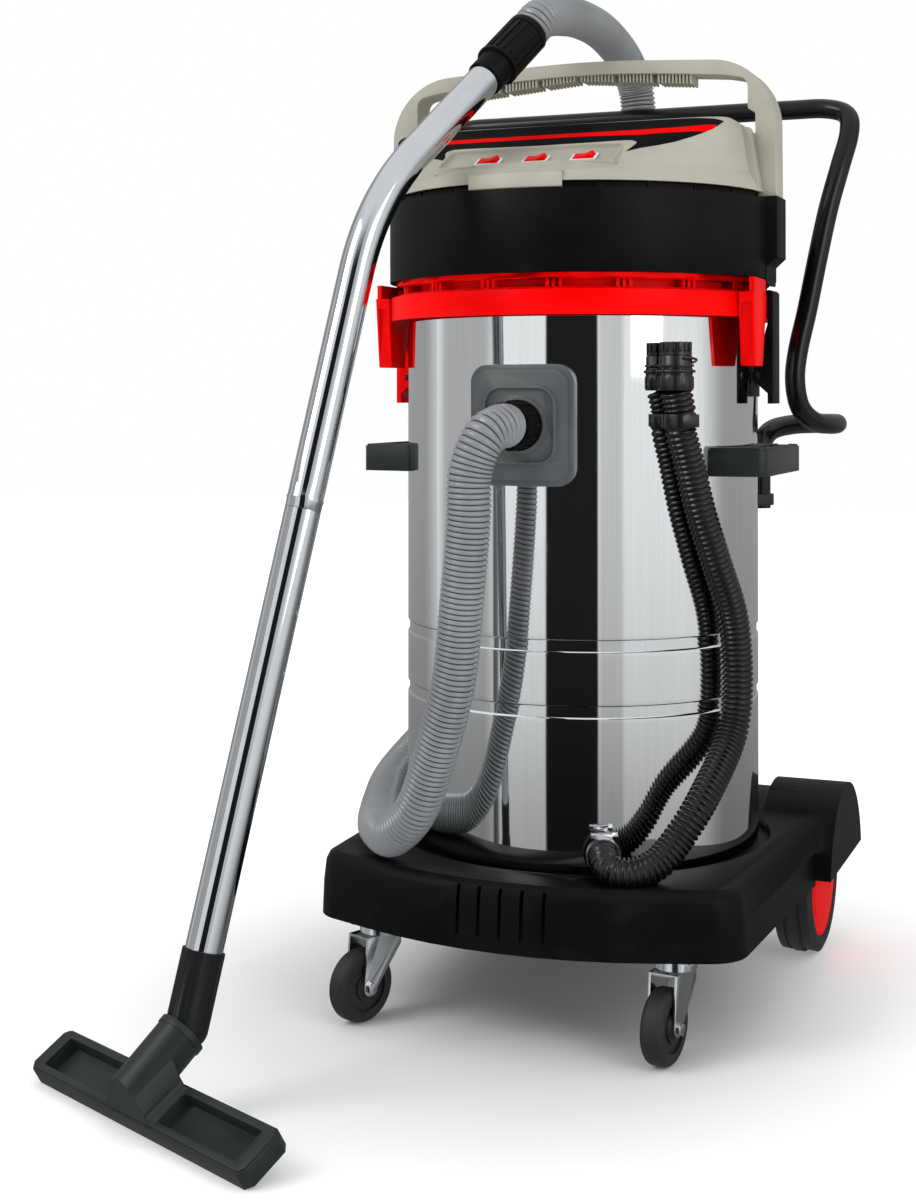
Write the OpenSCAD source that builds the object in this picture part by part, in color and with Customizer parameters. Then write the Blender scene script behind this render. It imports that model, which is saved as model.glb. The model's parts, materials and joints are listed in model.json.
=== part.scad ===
// Wet and dry vacuum cleaner with three motors: a steel tank on a dolly, with wand, hose and floor tool.
// Millimetres. Z is up from the floor, the front faces -Y and +X is the operator's right when facing it.

/* [Tank] */
// Outside diameter of the tank
tank_d = 420; // [400:1:440]
// Height of the tank from its floor to its rim
tank_h = 654; // [620:1:680]
// Thickness of the tank wall
tank_wall = 2; // [1.5:0.5:3]
// Radius between the tank's wall and floor
tank_fillet = 22; // [12:1:30]
// Height of the lower rolled groove above the tank's floor
groove_low = 208; // [190:1:220]
// Height of the upper rolled groove above the tank's floor
groove_high = 280; // [260:1:300]
// Depth of a rolled groove
groove_depth = 4; // [2:0.5:6]
// Height of the suction inlet above the tank's floor
inlet_h = 522; // [490:1:530]
// Width of the inlet plate
inlet_w = 120; // [110:1:130]
// Height of the inlet plate
inlet_plate_h = 134; // [124:1:140]
// Height of the drain outlet above the tank's floor
drain_h = 57; // [50:1:66]
// Angle of the drain outlet from the front towards the right side
drain_angle = 23.8; // [20:0.1:28]

/* [Dolly] */
// Height of the dolly's flat top above the floor
base_top = 182; // [176:1:190]
// Height of the dolly's skirt
skirt_drop = 72; // [60:1:76]
// Width of the dolly at its front corners
base_front_w = 490; // [470:1:520]
// Width of the dolly at its rear corners
base_rear_w = 544; // [530:1:560]
// Distance from the tank's axis to the dolly's rear edge
base_rear = 318; // [300:1:330]
// Distance from the tank's axis to the point of the bowed front edge
base_nose = 320; // [310:1:330]
// Thickness of the moulded dolly
base_wall = 4; // [3:0.5:5]
// Depth of the recess that holds the tank
recess_depth = 36; // [26:1:40]
// Width of the ventilation slots in the front skirt
vent_w = 4; // [3:0.5:6]
// Pitch of the ventilation slots
vent_pitch = 24.2; // [18:0.1:28]

/* [Rear wheels] */
// Outside diameter of a rear wheel
wheel_d = 200; // [190:1:206]
// Width of a rear wheel
wheel_w = 50; // [40:1:54]
// Distance between the inner faces of the two rear wheels
wheel_gap = 406; // [400:1:412]
// Distance of the rear axle behind the tank's axis
wheel_back = 212; // [204:1:216]
// Diameter of the rear axle
axle_d = 16; // [12:1:20]
// Diameter of the red hub cover
hub_d = 160; // [140:1:164]
// How far the hub cover bulges out of the tyre
hub_bulge = 4; // [2:0.5:8]
// Radial clearance between the fender and the tyre
fender_gap = 8; // [6:0.5:12]

/* [Casters] */
// Diameter of a caster wheel
caster_d = 80; // [70:1:84]
// Width of a caster wheel
caster_w = 24; // [20:1:28]
// Trail from a caster's swivel axis to its axle
caster_trail = 30; // [24:1:34]
// Distance of each caster swivel from the centre plane
caster_x = 172; // [160:1:180]
// Distance of the caster swivels in front of the tank's axis
caster_front = 210; // [200:1:214]
// Thickness of the caster's fork sheet
fork_t = 3; // [2:0.5:4]
// Diameter of a caster's swivel stem
stem_d = 14; // [10:1:16]
// Diameter of a caster's axle bolt
bolt_d = 8; // [6:1:10]

/* [Head] */
// Outside radius of the red band that sits on the tank's rim
band_r = 230; // [226:0.5:234]
// Height of the red band
band_h = 28; // [24:1:32]
// How far the band hangs below the tank's rim
band_drop = 11; // [8:1:14]
// Height of the slotted exhaust ring
exhaust_h = 18; // [14:1:22]
// Number of exhaust windows round the ring
exhaust_n = 18; // [12:1:24]
// Height of the black motor housing
housing_h = 92; // [84:1:100]
// Outside radius of the black motor housing
housing_r = 232; // [230.5:0.5:236]
// Height of the dark crown between housing and cover
crown_h = 8; // [6:1:12]
// Wall of the head's moulded parts
shell = 3; // [2.5:0.5:4]
// Height of the cover above the crown
cover_h = 82; // [76:1:90]
// Angle of the switch panel above the horizontal
panel_tilt = 28; // [24:1:32]
// Depth of the switch recess
panel_sink = 8; // [5:0.5:10]
// Distance between the rocker switches
switch_pitch = 57; // [46:1:60]
// Travel of a rocker switch to each side
switch_tilt = 9; // [6:1:12]

/* [Carry handle] */
// Overall width of the carry handle
handle_w = 482; // [478:1:490]
// Height of the carry handle above the motor housing
handle_rise = 172; // [165:1:185]
// Thickness of the hand grip
grip_t = 13; // [12:1:16]
// Depth of the handle from front to back
handle_y = 40; // [34:1:46]
// Thickness of each handle column
column_t = 22; // [20:1:26]

/* [Latches] */
// Length of a latch lever
lever_l = 131; // [124:1:134]
// Width of a latch lever
lever_w = 38; // [32:1:42]
// Thickness of a latch lever's face plate
lever_t = 6; // [5:0.5:8]
// Diameter of the latch pins
pin_d = 6; // [4:0.5:8]

/* [Push handle] */
// Diameter of the push handle's tube
tube_d = 25; // [22:1:27]
// Wall of the push handle's tube
tube_wall = 2; // [1.5:0.5:3]

/* [Wand and floor tool] */
// Diameter of the chromed wand tubes
wand_d = 38; // [35:0.5:39]
// Wall of the wand tubes
wand_wall = 1.5; // [1:0.5:2]
// Length of the lower wand tube that shows above the elbow
wand_lower_l = 444; // [400:1:480]
// Length of the straight part of the upper wand tube
wand_upper_l = 261; // [230:1:290]
// Radius of the bend in the upper wand tube
wand_bend_r = 280; // [260:1:300]
// Angle of the bend in the upper wand tube
wand_bend = 32.3; // [28:0.1:34]
// Length of the wand beyond the bend
wand_tip_l = 144; // [120:1:160]
// Length of the floor tool
tool_l = 357; // [330:1:370]
// Depth of the floor tool
tool_depth = 54; // [50:1:60]
// Height of the floor tool's body
tool_h = 21; // [20:1:26]

/* [Motors] */
// Diameter of a motor's fan housing
fan_d = 140; // [130:1:146]
// Height of a motor's fan housing
fan_h = 48; // [40:1:52]
// Diameter of a motor's field housing
motor_d = 96; // [90:1:100]
// Height of a motor's field housing
motor_h = 66; // [60:1:70]
// Distance of each motor from the tank's axis
motor_place = 116; // [110:1:118]
// Diameter of a motor shaft
shaft_d = 10; // [8:1:12]
// Travel of the float
float_travel = 38; // [30:1:42]

/* [Hoses] */
// Outside diameter of the suction hose
hose_d = 48; // [46:1:50]
// Outside diameter of the drain hose
drain_hose_d = 35; // [33:1:36]

/* [Fits] */
// Radial clearance of a turning pin in its bore
running = 0.06; // [0.03:0.01:0.09]
// Gap between pieces that are seated together
seat = 0.3; // [0.2:0.05:0.4]
// Clearance between a moving piece and its surroundings
free = 1.5; // [1:0.1:2]

/* [Hidden] */
$fn = 96;
eps = 0.01;

// Heights and radii that follow from the sizes above
tank_r = tank_d / 2;
tank_z = base_top - recess_depth;
rim_z = tank_z + tank_h;
ring_t = 2;
gasket_t = 3;
deck_z = rim_z + ring_t + gasket_t;
band_z = rim_z - band_drop;
exhaust_z = band_z + band_h;
housing_z = exhaust_z + exhaust_h;
crown_z = housing_z + housing_h;
cover_z = crown_z + crown_h;
skirt_z = base_top - skirt_drop;
wheel_r = wheel_d / 2;
caster_r = caster_d / 2;
recess_ledge = 10;
nose_r = 460;
front_corner_r = 45;
rear_corner_r = 25;
front_corner_y = -227;

// The tank's axis lies off the middle of the whole object, which is the origin
origin_x = 61.5;
origin_y = 175.7;

module place() {
  translate([origin_x, origin_y, 0]) children();
}

// Mirrors what follows to the left side
module side(s) {
  if (s < 0) mirror([1, 0, 0]) children();
  else children();
}

function unit(v) = v / norm(v);

// Points of the arc that rounds corner b between a and c
function corner(a, b, c, r, n) =
  let (u = unit(a - b), v = unit(c - b), half = acos(u * v) / 2,
       o = b + unit(u + v) * r / sin(half),
       s = b + u * r / tan(half) - o, e = b + v * r / tan(half) - o,
       a0 = atan2(s.y, s.x), d = atan2(e.y, e.x) - a0,
       turn = d > 180 ? d - 360 : d < -180 ? d + 360 : d)
  [for (i = [0:n]) o + r * [cos(a0 + turn * i / n), sin(a0 + turn * i / n)]];

// Outline with rounded corners: each point of p is [x, y, radius]
function rounded(p, n = 6) =
  [for (i = [0:len(p) - 1])
    let (a = p[(i + len(p) - 1) % len(p)], b = p[i], c = p[(i + 1) % len(p)])
    each corner([a.x, a.y], [b.x, b.y], [c.x, c.y], b.z, n)];

// Outline moved inwards by d; it runs anticlockwise
function inset(p, d) =
  [for (i = [0:len(p) - 1])
    let (t = unit(p[(i + 1) % len(p)] - p[(i + len(p) - 1) % len(p)]))
    p[i] + d * [-t.y, t.x]];

function at_height(p, z) = [for (q = p) [q.x, q.y, z]];

// Closed skin through rings that hold the same number of points
module loft(rings) {
  n = len(rings[0]);
  m = len(rings);
  polyhedron(
    points = [for (r = rings) each r],
    faces = [
      [for (i = [0:n - 1]) i],
      [for (i = [n - 1:-1:0]) (m - 1) * n + i],
      for (j = [0:m - 2]) for (i = [0:n - 1])
        each [[j * n + i, (j + 1) * n + i, (j + 1) * n + (i + 1) % n],
              [j * n + i, (j + 1) * n + (i + 1) % n, j * n + (i + 1) % n]]
    ]);
}

// Point on a smooth curve through p, between point i and the next one
function spline(p, i, t) =
  let (n = len(p) - 1, a = p[max(i - 1, 0)], b = p[i], c = p[min(i + 1, n)], d = p[min(i + 2, n)])
  0.5 * (2 * b + (c - a) * t + (2 * a - 5 * b + 4 * c - d) * t * t + (3 * b - a - 3 * c + d) * t * t * t);

// Smooth path through p with n steps between two points
function path(p, n) =
  [for (i = [0:len(p) - 2]) for (k = [0:n - 1]) spline(p, i, k / n), p[len(p) - 1]];

function tangents(p, first, last) =
  [for (i = [0:len(p) - 1])
    i == 0 ? unit(first) : i == len(p) - 1 ? unit(last) : unit(p[i + 1] - p[i - 1])];

function carried(v, t) = unit(v - (v * t) * t);

// Tube swept along p; first and last are the directions of its two ends
module sweep(p, r, sides, first, last) {
  t = tangents(p, first, last);
  start = abs(t[0].z) < 0.9 ? [0, 0, 1] : [1, 0, 0];
  v = [for (i = 0, w = carried(start, t[0]); i < len(t);
            i = i + 1, w = i < len(t) ? carried(w, t[i]) : w) w];
  loft([for (i = [0:len(p) - 1])
    [for (k = [0:sides - 1])
      p[i] + r * (cos(360 * k / sides) * v[i] + sin(360 * k / sides) * cross(t[i], v[i]))]]);
}

// Rod or disc along X, from x0 over the length l
module along_x(x0, l, r) {
  translate([x0, 0, 0]) rotate([0, 90, 0]) cylinder(h = l, r = r);
}

// Rod or disc along Y, from y0 over the length l
module along_y(y0, l, r) {
  translate([0, y0, 0]) rotate([-90, 0, 0]) cylinder(h = l, r = r);
}

// Rectangle with round corners, centred
module pad(w, h, r) {
  union() {
    square([w - 2 * r, h], center = true);
    square([w, h - 2 * r], center = true);
    for (x = [-1, 1], y = [-1, 1]) translate([x * (w / 2 - r), y * (h / 2 - r)]) circle(r = r);
  }
}

// Ring turned about Z
module ring(r_in, r_out, z, h) {
  translate([0, 0, z]) difference() {
    cylinder(h = h, r = r_out);
    translate([0, 0, -1]) cylinder(h = h + 2, r = r_in);
  }
}

// What must stay clear of the tank's wall
module tank_clear(z, h) {
  translate([0, 0, z]) cylinder(h = h, r = tank_r + seat, $fn = 360);
}

// ---- Tank ----

inlet_bore = 22;
drain_bore = 13;

module groove_cut(z, r_extra) {
  groove_r = 9;
  translate([tank_r + groove_r - groove_depth, z]) circle(r = groove_r + r_extra);
}

module tank_section() {
  difference() {
    union() {
      translate([tank_r - tank_wall, tank_fillet]) square([tank_wall, tank_h - tank_fillet]);
      square([tank_r - tank_fillet, tank_wall]);
      translate([tank_r - tank_fillet, tank_fillet]) intersection() {
        difference() {
          circle(r = tank_fillet);
          circle(r = tank_fillet - tank_wall);
        }
        translate([0, -tank_fillet]) square(tank_fillet);
      }
      intersection() {
        for (z = [groove_low, groove_high]) groove_cut(z, tank_wall);
        translate([0, tank_fillet]) square([tank_r, tank_h - tank_fillet]);
      }
    }
    for (z = [groove_low, groove_high]) groove_cut(z, 0);
  }
}

module tank() {
  color("silver") difference() {
    translate([0, 0, tank_z]) rotate_extrude($fn = 128) tank_section();
    translate([0, 0, tank_z + inlet_h]) along_y(-tank_r - 20, 60, inlet_bore);
    rotate([0, 0, drain_angle]) translate([0, 0, tank_z + drain_h]) along_y(-tank_r - 20, 60, drain_bore);
  }
}

module tank_gasket() {
  color("black") ring(tank_r - 10, tank_r + 1.5, rim_z + ring_t, gasket_t);
}

// Cloth filter that hangs by its ring from the tank's rim
module filter_bag() {
  top_r = tank_r - 22;
  low_r = 128;
  depth = 220;
  cloth = 2;
  color("white") translate([0, 0, rim_z]) rotate_extrude()
    polygon([[top_r - cloth, ring_t], [tank_r, ring_t], [tank_r, 0], [top_r, 0], [low_r, -depth], [0, -depth],
      [0, cloth - depth], [low_r - cloth, cloth - depth], [top_r - cloth, 0]]);
}

// ---- Dolly ----

function base_plan() = rounded([
  [-base_rear_w / 2, base_rear, rear_corner_r],
  [-base_front_w / 2, front_corner_y, front_corner_r],
  [0, -base_nose, nose_r],
  [base_front_w / 2, front_corner_y, front_corner_r],
  [base_rear_w / 2, base_rear, rear_corner_r]], 8);

// Skin of the dolly, moved in by wall and with its rounded top edge lowered by it
module base_skin(wall, foot) {
  plan = base_plan();
  steps = [[-foot, 0], [skirt_drop - 34, 1.5], [skirt_drop - 12, 4], [skirt_drop - 4, 8], [skirt_drop, 15]];
  loft([for (s = steps) at_height(inset(plan, s.y + wall), skirt_z + s.x - (s.x < 0 ? 0 : wall))]);
}

fender_r = wheel_r + fender_gap + base_wall;
fender_in = wheel_gap / 2 - 13;
fender_out = base_rear_w / 2 + 8;
fender_z = skirt_z + 6;
ear_t = 8;
ear_r = axle_d / 2 + 9;
boss_r = 30;
stem_hole = 16;
ledge_r = tank_r + 14;
scoop_x = 118;
scoop_y = -218;
scoop_r = 34;

// Shallow step round the tank, with a scoop where the drain hose dips
module ledge(z, h, wall) {
  translate([0, 0, z]) cylinder(h = h, r = ledge_r + wall);
  translate([scoop_x, scoop_y, z]) cylinder(h = h, r = scoop_r + wall);
}

module wheel_axis() {
  translate([0, wheel_back, wheel_r]) children();
}

module base() {
  color("black") difference() {
    union() {
      difference() {
        base_skin(0, 0);
        base_skin(base_wall, 1);
      }
      translate([0, 0, tank_z - base_wall])
        cylinder(h = recess_depth + base_wall / 2, r = tank_r + base_wall + seat);
      ledge(base_top - recess_ledge - base_wall, recess_ledge + base_wall / 2, base_wall);
      for (s = [-1, 1]) {
        intersection() {
          wheel_axis() side(s) along_x(fender_in, fender_out - fender_in, fender_r);
          translate([-500, 0, fender_z]) cube([1000, 400, 200]);
        }
        side(s) translate([fender_in - ear_t, wheel_back - ear_r, wheel_r])
          cube([ear_t, 2 * ear_r, base_top - base_wall / 2 - wheel_r]);
        wheel_axis() side(s) along_x(fender_in - ear_t, ear_t, ear_r);
        translate([s * caster_x, -caster_front, skirt_z]) cylinder(h = skirt_drop - base_wall / 2, r = boss_r);
      }
    }
    translate([0, 0, tank_z]) cylinder(h = 100, r = tank_r + seat);
    ledge(base_top - recess_ledge, 100, 0);
    for (s = [-1, 1]) {
      wheel_axis() side(s) along_x(fender_in + base_wall, fender_out - fender_in - 2 * base_wall, fender_r - base_wall);
      wheel_axis() side(s) along_x(fender_in - ear_t - 1, ear_t + 8, axle_d / 2 + running);
      translate([s * caster_x, -caster_front, skirt_z - 1]) cylinder(h = stem_hole + 1, r = stem_d / 2 + running);
    }
    for (i = [-2:2])
      translate([i * vent_pitch - vent_w / 2, -base_nose, skirt_z + 15]) cube([vent_w, 60, 52]);
  }
}

module wheel_axle() {
  half = wheel_gap / 2 + wheel_w - 10;
  color("gray") wheel_axis() along_x(-half, 2 * half, axle_d / 2);
}

hub_seat = 8;

// Section of a rear wheel: its radius runs along X and its width along Y
module wheel_section() {
  shoulder = 10;
  bore = axle_d / 2 + running;
  difference() {
    union() {
      square([wheel_r - shoulder, wheel_w]);
      translate([0, shoulder]) square([wheel_r, wheel_w - 2 * shoulder]);
      for (y = [shoulder, wheel_w - shoulder]) translate([wheel_r - shoulder, y]) circle(r = shoulder);
    }
    translate([-1, -1]) square([bore + 1, wheel_w + 2]);
    translate([-1, wheel_w - hub_seat]) square([hub_d / 2 + seat + 1, hub_seat + 1]);
    translate([bore + 16, -1]) square([wheel_r - 30 - bore - 16, 14]);
  }
}

// Cover dished outwards, with a pocket over the axle's end
module hub_section() {
  r = hub_d / 2;
  rise = hub_bulge + 4;
  sphere_r = (r * r + rise * rise) / (2 * rise);
  foot = wheel_w - hub_seat;
  difference() {
    union() {
      translate([0, foot]) square([r, hub_seat - 4]);
      intersection() {
        translate([0, wheel_w - 4 + rise - sphere_r]) circle(r = sphere_r, $fn = 360);
        translate([0, wheel_w - 4]) square([r, rise]);
      }
    }
    translate([-1, foot - 1]) square([axle_d / 2 + 3, hub_seat]);
    translate([r - 12, wheel_w - 4 - eps]) square([5, 1.5]);
  }
}

module on_wheel(s) {
  wheel_axis() side(s) translate([wheel_gap / 2, 0, 0]) rotate([0, 90, 0]) children();
}

module wheel(s) {
  color("dimgray") on_wheel(s) rotate_extrude($fn = 128) wheel_section();
}

module hub(s) {
  color("red") on_wheel(s) rotate_extrude($fn = 128) hub_section();
}

module wheel_left() { wheel(-1); }
module wheel_right() { wheel(1); }
module hub_left() { hub(-1); }
module hub_right() { hub(1); }

// ---- Casters ----

plate_t = 4;
fork_z = skirt_z - 15;
fork_in = caster_w / 2 + free;
caster_yaw_left = -23;
caster_yaw_right = -9;

// Frame of a caster: its swivel axis is the origin, and the wheel trails towards -Y
module caster(s) {
  translate([s * caster_x, -caster_front, 0])
    rotate([0, 0, s < 0 ? caster_yaw_left : caster_yaw_right]) children();
}

module caster_plate(s) {
  color("silver") translate([s * caster_x, -caster_front, skirt_z - plate_t]) difference() {
    linear_extrude(plate_t) pad(56, 56, 8);
    translate([0, 0, -1]) cylinder(h = plate_t + 2, r = stem_d / 2 + running);
  }
}

module fork_arm() {
  polygon([[-caster_trail - 9, caster_r], [-caster_trail - 3, fork_z], [17, fork_z], [17, fork_z - 14],
    [-caster_trail + 8, caster_r - 4]]);
  translate([-caster_trail, caster_r]) circle(r = 9);
}

module caster_fork(s) {
  color("silver") caster(s) difference() {
    union() {
      for (x = [-fork_in - fork_t, fork_in])
        translate([x, 0, 0]) rotate([90, 0, 90]) linear_extrude(fork_t) fork_arm();
      translate([-fork_in - fork_t, -caster_trail - 3, fork_z - fork_t])
        cube([2 * (fork_in + fork_t), caster_trail + 20, fork_t]);
      translate([0, 0, fork_z - eps]) cylinder(h = skirt_z - plate_t - seat - fork_z + eps, r = 23);
      translate([0, 0, fork_z]) cylinder(h = skirt_z + stem_hole - 2 - fork_z, r = stem_d / 2);
    }
    translate([0, -caster_trail, caster_r]) along_x(-60, 120, bolt_d / 2 + running);
  }
}

module caster_bolt(s) {
  half = fork_in + fork_t;
  head = 5;
  color("silver") caster(s) translate([0, -caster_trail, caster_r]) {
    along_x(-half - head, 2 * (half + head), bolt_d / 2);
    for (x = [-half - head, half]) translate([x, 0, 0]) rotate([0, 90, 0]) cylinder(h = head, r = bolt_d * 0.85, $fn = 6);
  }
}

module caster_wheel(s) {
  shoulder = 7;
  color("black") caster(s) translate([-caster_w / 2, -caster_trail, caster_r]) rotate([0, 90, 0])
    rotate_extrude() difference() {
      union() {
        square([caster_r - shoulder, caster_w]);
        translate([0, shoulder]) square([caster_r, caster_w - 2 * shoulder]);
        for (y = [shoulder, caster_w - shoulder]) translate([caster_r - shoulder, y]) circle(r = shoulder);
        translate([0, -1]) square([12, caster_w + 2]);
      }
      translate([-1, -2]) square([bolt_d / 2 + running + 1, caster_w + 4]);
      for (y = [-1, caster_w - 3]) translate([15, y]) square([11, 4]);
    }
}

module caster_plate_left() { caster_plate(-1); }
module caster_plate_right() { caster_plate(1); }
module caster_fork_left() { caster_fork(-1); }
module caster_fork_right() { caster_fork(1); }
module caster_bolt_left() { caster_bolt(-1); }
module caster_bolt_right() { caster_bolt(1); }
module caster_wheel_left() { caster_wheel(-1); }
module caster_wheel_right() { caster_wheel(1); }

// ---- Suction inlet ----

inlet_z = tank_z + inlet_h;
inlet_reach = 52;
cuff_r = 27;
cuff_seat = 15;

module at_inlet() {
  translate([0, 0, inlet_z]) rotate([90, 0, 0]) children();
}

module inlet_plate() {
  color("dimgray") difference() {
    at_inlet() {
      linear_extrude(tank_r + 5) pad(inlet_w, inlet_plate_h, 20);
      linear_extrude(tank_r + 9) pad(inlet_w - 12, inlet_plate_h - 12, 16);
      linear_extrude(tank_r + 14) pad(inlet_w - 36, inlet_w - 34, 20);
      cylinder(h = tank_r + cuff_seat, r = cuff_r + 5);
    }
    tank_clear(inlet_z - inlet_plate_h, 2 * inlet_plate_h);
    at_inlet() cylinder(h = tank_r + 60, r = inlet_bore);
    at_inlet() translate([0, 0, tank_r + 11]) linear_extrude(20) difference() {
      pad(inlet_w - 42, inlet_w - 40, 17);
      circle(r = cuff_r + 5);
    }
  }
}

module inlet_cuff() {
  color("black") at_inlet() difference() {
    union() {
      translate([0, 0, tank_r - 18]) cylinder(h = inlet_reach + 18, r = inlet_bore - seat);
      translate([0, 0, tank_r + cuff_seat + seat]) cylinder(h = inlet_reach - cuff_seat - seat, r = cuff_r - 1);
      translate([0, 0, tank_r + cuff_seat + seat]) cylinder(h = 4, r = cuff_r + 1);
      for (a = [0:30:359]) rotate([0, 0, a])
        translate([0, -1.5, tank_r + cuff_seat + 6]) cube([cuff_r + 0.5, 3, inlet_reach - cuff_seat - 10]);
    }
    cylinder(h = 400, r = inlet_bore - 4);
  }
}

// ---- Drain ----

drain_z = tank_z + drain_h;
spigot_end = 10;
clip_z = 666;
clip_angle = 45.7;
clip_place = 230.5;
drain_cuff_z = 706;
drain_cuff_angle = 44.2;
drain_cuff_place = 231;
drain_r = drain_hose_d / 2;

module at_drain() {
  rotate([0, 0, drain_angle]) translate([0, 0, drain_z]) rotate([90, 0, 0]) children();
}

module drain_outlet() {
  color("black") difference() {
    at_drain() {
      translate([0, 0, tank_r - 12]) cylinder(h = spigot_end + 12, r = drain_bore - seat);
      translate([0, 0, tank_r - 6]) cylinder(h = 10, r = drain_bore + 8);
    }
    difference() {
      tank_clear(0, drain_z + 100);
      at_drain() translate([0, 0, tank_r - 60]) cylinder(h = 80, r = drain_bore - seat);
    }
    at_drain() cylinder(h = 400, r = drain_bore - 3.5);
  }
}

module drain_clamp() {
  band = drain_r + 0.4;
  color("silver") at_drain() translate([0, 0, tank_r + spigot_end + 2]) {
    difference() {
      cylinder(h = 10, r = band + 1.2);
      translate([0, 0, -1]) cylinder(h = 12, r = band);
    }
    translate([0, band + 0.6, 1]) {
      translate([-9, 0, 0]) cube([18, 6, 8]);
      translate([-14, 3.4, 4]) rotate([0, 90, 0]) cylinder(h = 28, r = 3);
      translate([9, 3.4, 4]) rotate([0, 90, 0]) cylinder(h = 6, r = 4, $fn = 6);
    }
  }
}

module at_clip() {
  rotate([0, 0, clip_angle]) translate([0, -clip_place, clip_z]) children();
}

module drain_clip() {
  color("black") difference() {
    union() {
      at_clip() cylinder(h = 14, r = drain_r + 3);
      at_clip() translate([-11, drain_r - 4, 1]) cube([22, 20, 12]);
      at_clip() translate([-10, -drain_r - 5.5, 2]) cube([20, 6, 10]);
    }
    at_clip() translate([0, 0, -1]) cylinder(h = 16, r = drain_r + 0.6);
    tank_clear(clip_z - 20, 60);
  }
}

cap_h = 15;
thread_r = 13;

module at_drain_cuff() {
  rotate([0, 0, drain_cuff_angle]) translate([0, -drain_cuff_place, drain_cuff_z]) children();
}

module drain_cuff() {
  color("black") at_drain_cuff() difference() {
    union() {
      cylinder(h = 16, r = drain_r + 1.6);
      cylinder(h = 38, r = drain_r + 0.6);
      translate([0, 0, 26]) cylinder(h = 2.5, r = drain_r + 2.4);
      cylinder(h = 50, r = thread_r);
    }
    translate([0, 0, -1]) cylinder(h = 60, r = thread_r - 3);
  }
}

module drain_cap() {
  color("black") at_drain_cuff() translate([0, 0, 38 + seat]) difference() {
    union() {
      cylinder(h = cap_h, r = drain_r);
      for (a = [0:20:359]) rotate([0, 0, a]) translate([drain_r - 1, -1.2, 3]) cube([2, 2.4, cap_h - 4]);
    }
    translate([0, 0, -1]) cylinder(h = cap_h - 2, r = thread_r + running);
  }
}

// ---- Tool holders ----

holder_z = 610;
holder_h = 32;
holder_lip = 2;
holder_out = tank_r + 36;
holder_back = 105;
pocket_depth = 14;
socket_r = wand_d / 2 + 0.5;
socket_y = 80;
socket_x = sqrt(pow(tank_r + 24, 2) - pow(socket_y, 2));
socket_lean = 7;

// Bracket on the tank's side: a pocket in front, and behind the latch a round socket that leans
// outward, so that a tube in it clears the head
module tool_holder(s) {
  plan = rounded([[150, -holder_back, 6], [188, -holder_back, 6], [holder_out, -98, 12], [holder_out, 98, 14],
    [196, holder_back, 6], [150, holder_back, 6]], 4);
  pocket = rounded([[204, -80, 6], [holder_out - 9, -80, 8], [holder_out - 7, 40, 8], [216, 40, 6], [216, 0, 20]], 4);
  color("dimgray") side(s) difference() {
    union() {
      translate([0, 0, holder_z]) linear_extrude(holder_h - holder_lip) polygon(plan);
      translate([0, 0, holder_z]) linear_extrude(holder_h) polygon(inset(plan, holder_lip));
    }
    tank_clear(holder_z - 1, holder_h + 2);
    translate([0, -200, holder_z - 1]) cube([150, 400, holder_h + 2]);
    translate([0, 0, holder_z + holder_h - pocket_depth]) linear_extrude(pocket_depth + 1) polygon(pocket);
    translate([socket_x, socket_y, holder_z + holder_h / 2]) rotate([0, 0, atan2(socket_y, socket_x)])
      rotate([0, socket_lean, 0]) translate([0, 0, -holder_h]) cylinder(h = 2 * holder_h, r = socket_r);
  }
}

module tool_holder_left() { tool_holder(-1); }
module tool_holder_right() { tool_holder(1); }

// ---- Latches ----

lever_x = band_r + 0.5;
lever_foot = rim_z + 22 - lever_l;
pivot_x = tank_r + 10;
pivot_z = lever_foot + 32;
cheek_t = 4;
cheek_in = lever_w / 2 - cheek_t;
hook_z = exhaust_z + 1;

module at_pivot() {
  translate([pivot_x, 0, pivot_z]) children();
}

module latch_bracket(s) {
  ear = 4;
  color("dimgray") side(s) difference() {
    union() {
      translate([tank_r - 4, -cheek_in + 0.5, pivot_z - 24]) cube([8, 2 * cheek_in - 1, 48]);
      for (y = [-cheek_in + 0.5, cheek_in - 0.5 - ear]) {
        at_pivot() along_y(y, ear, 7);
        translate([tank_r, y, pivot_z - 7]) cube([pivot_x - tank_r, ear, 14]);
      }
    }
    tank_clear(pivot_z - 50, 100);
    at_pivot() along_y(-60, 120, pin_d / 2 + running);
  }
}

module latch_pin(s) {
  half = lever_w / 2 + 2;
  color("silver") side(s) at_pivot() {
    along_y(-half, 2 * half, pin_d / 2);
    along_y(-half, 1.5, pin_d / 2 + 1.5);
  }
}

module cheek() {
  circle(r = 8);
  polygon([[-6, -5.3], [lever_x - pivot_x, -20], [lever_x - pivot_x, 60], [-5, 6]]);
}

module latch(s) {
  color("black") side(s) difference() {
    union() {
      translate([lever_x, -lever_w / 2, lever_foot]) cube([lever_t, lever_w, lever_l]);
      for (y = [lever_w / 2, -cheek_in]) at_pivot() translate([0, y, 0]) rotate([90, 0, 0])
        linear_extrude(cheek_t) cheek();
      translate([lever_x - 7, -12, hook_z]) cube([7 + eps, 24, lever_foot + lever_l - hook_z]);
    }
    at_pivot() along_y(-60, 120, pin_d / 2 + running);
    translate([lever_x + lever_t, 0, lever_foot + lever_l]) rotate([0, 45, 0]) cube([4, 100, 4], center = true);
  }
}

module latch_bracket_left() { latch_bracket(-1); }
module latch_bracket_right() { latch_bracket(1); }
module latch_pin_left() { latch_pin(-1); }
module latch_pin_right() { latch_pin(1); }
module latch_left() { latch(-1); }
module latch_right() { latch(1); }

// ---- Push handle ----

post_x = 185;
post_y = 150;
post_z = 560;
post_top = 622;
tube_r = tube_d / 2;
bar_y = 258;
bar_z = 1072;

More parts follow.
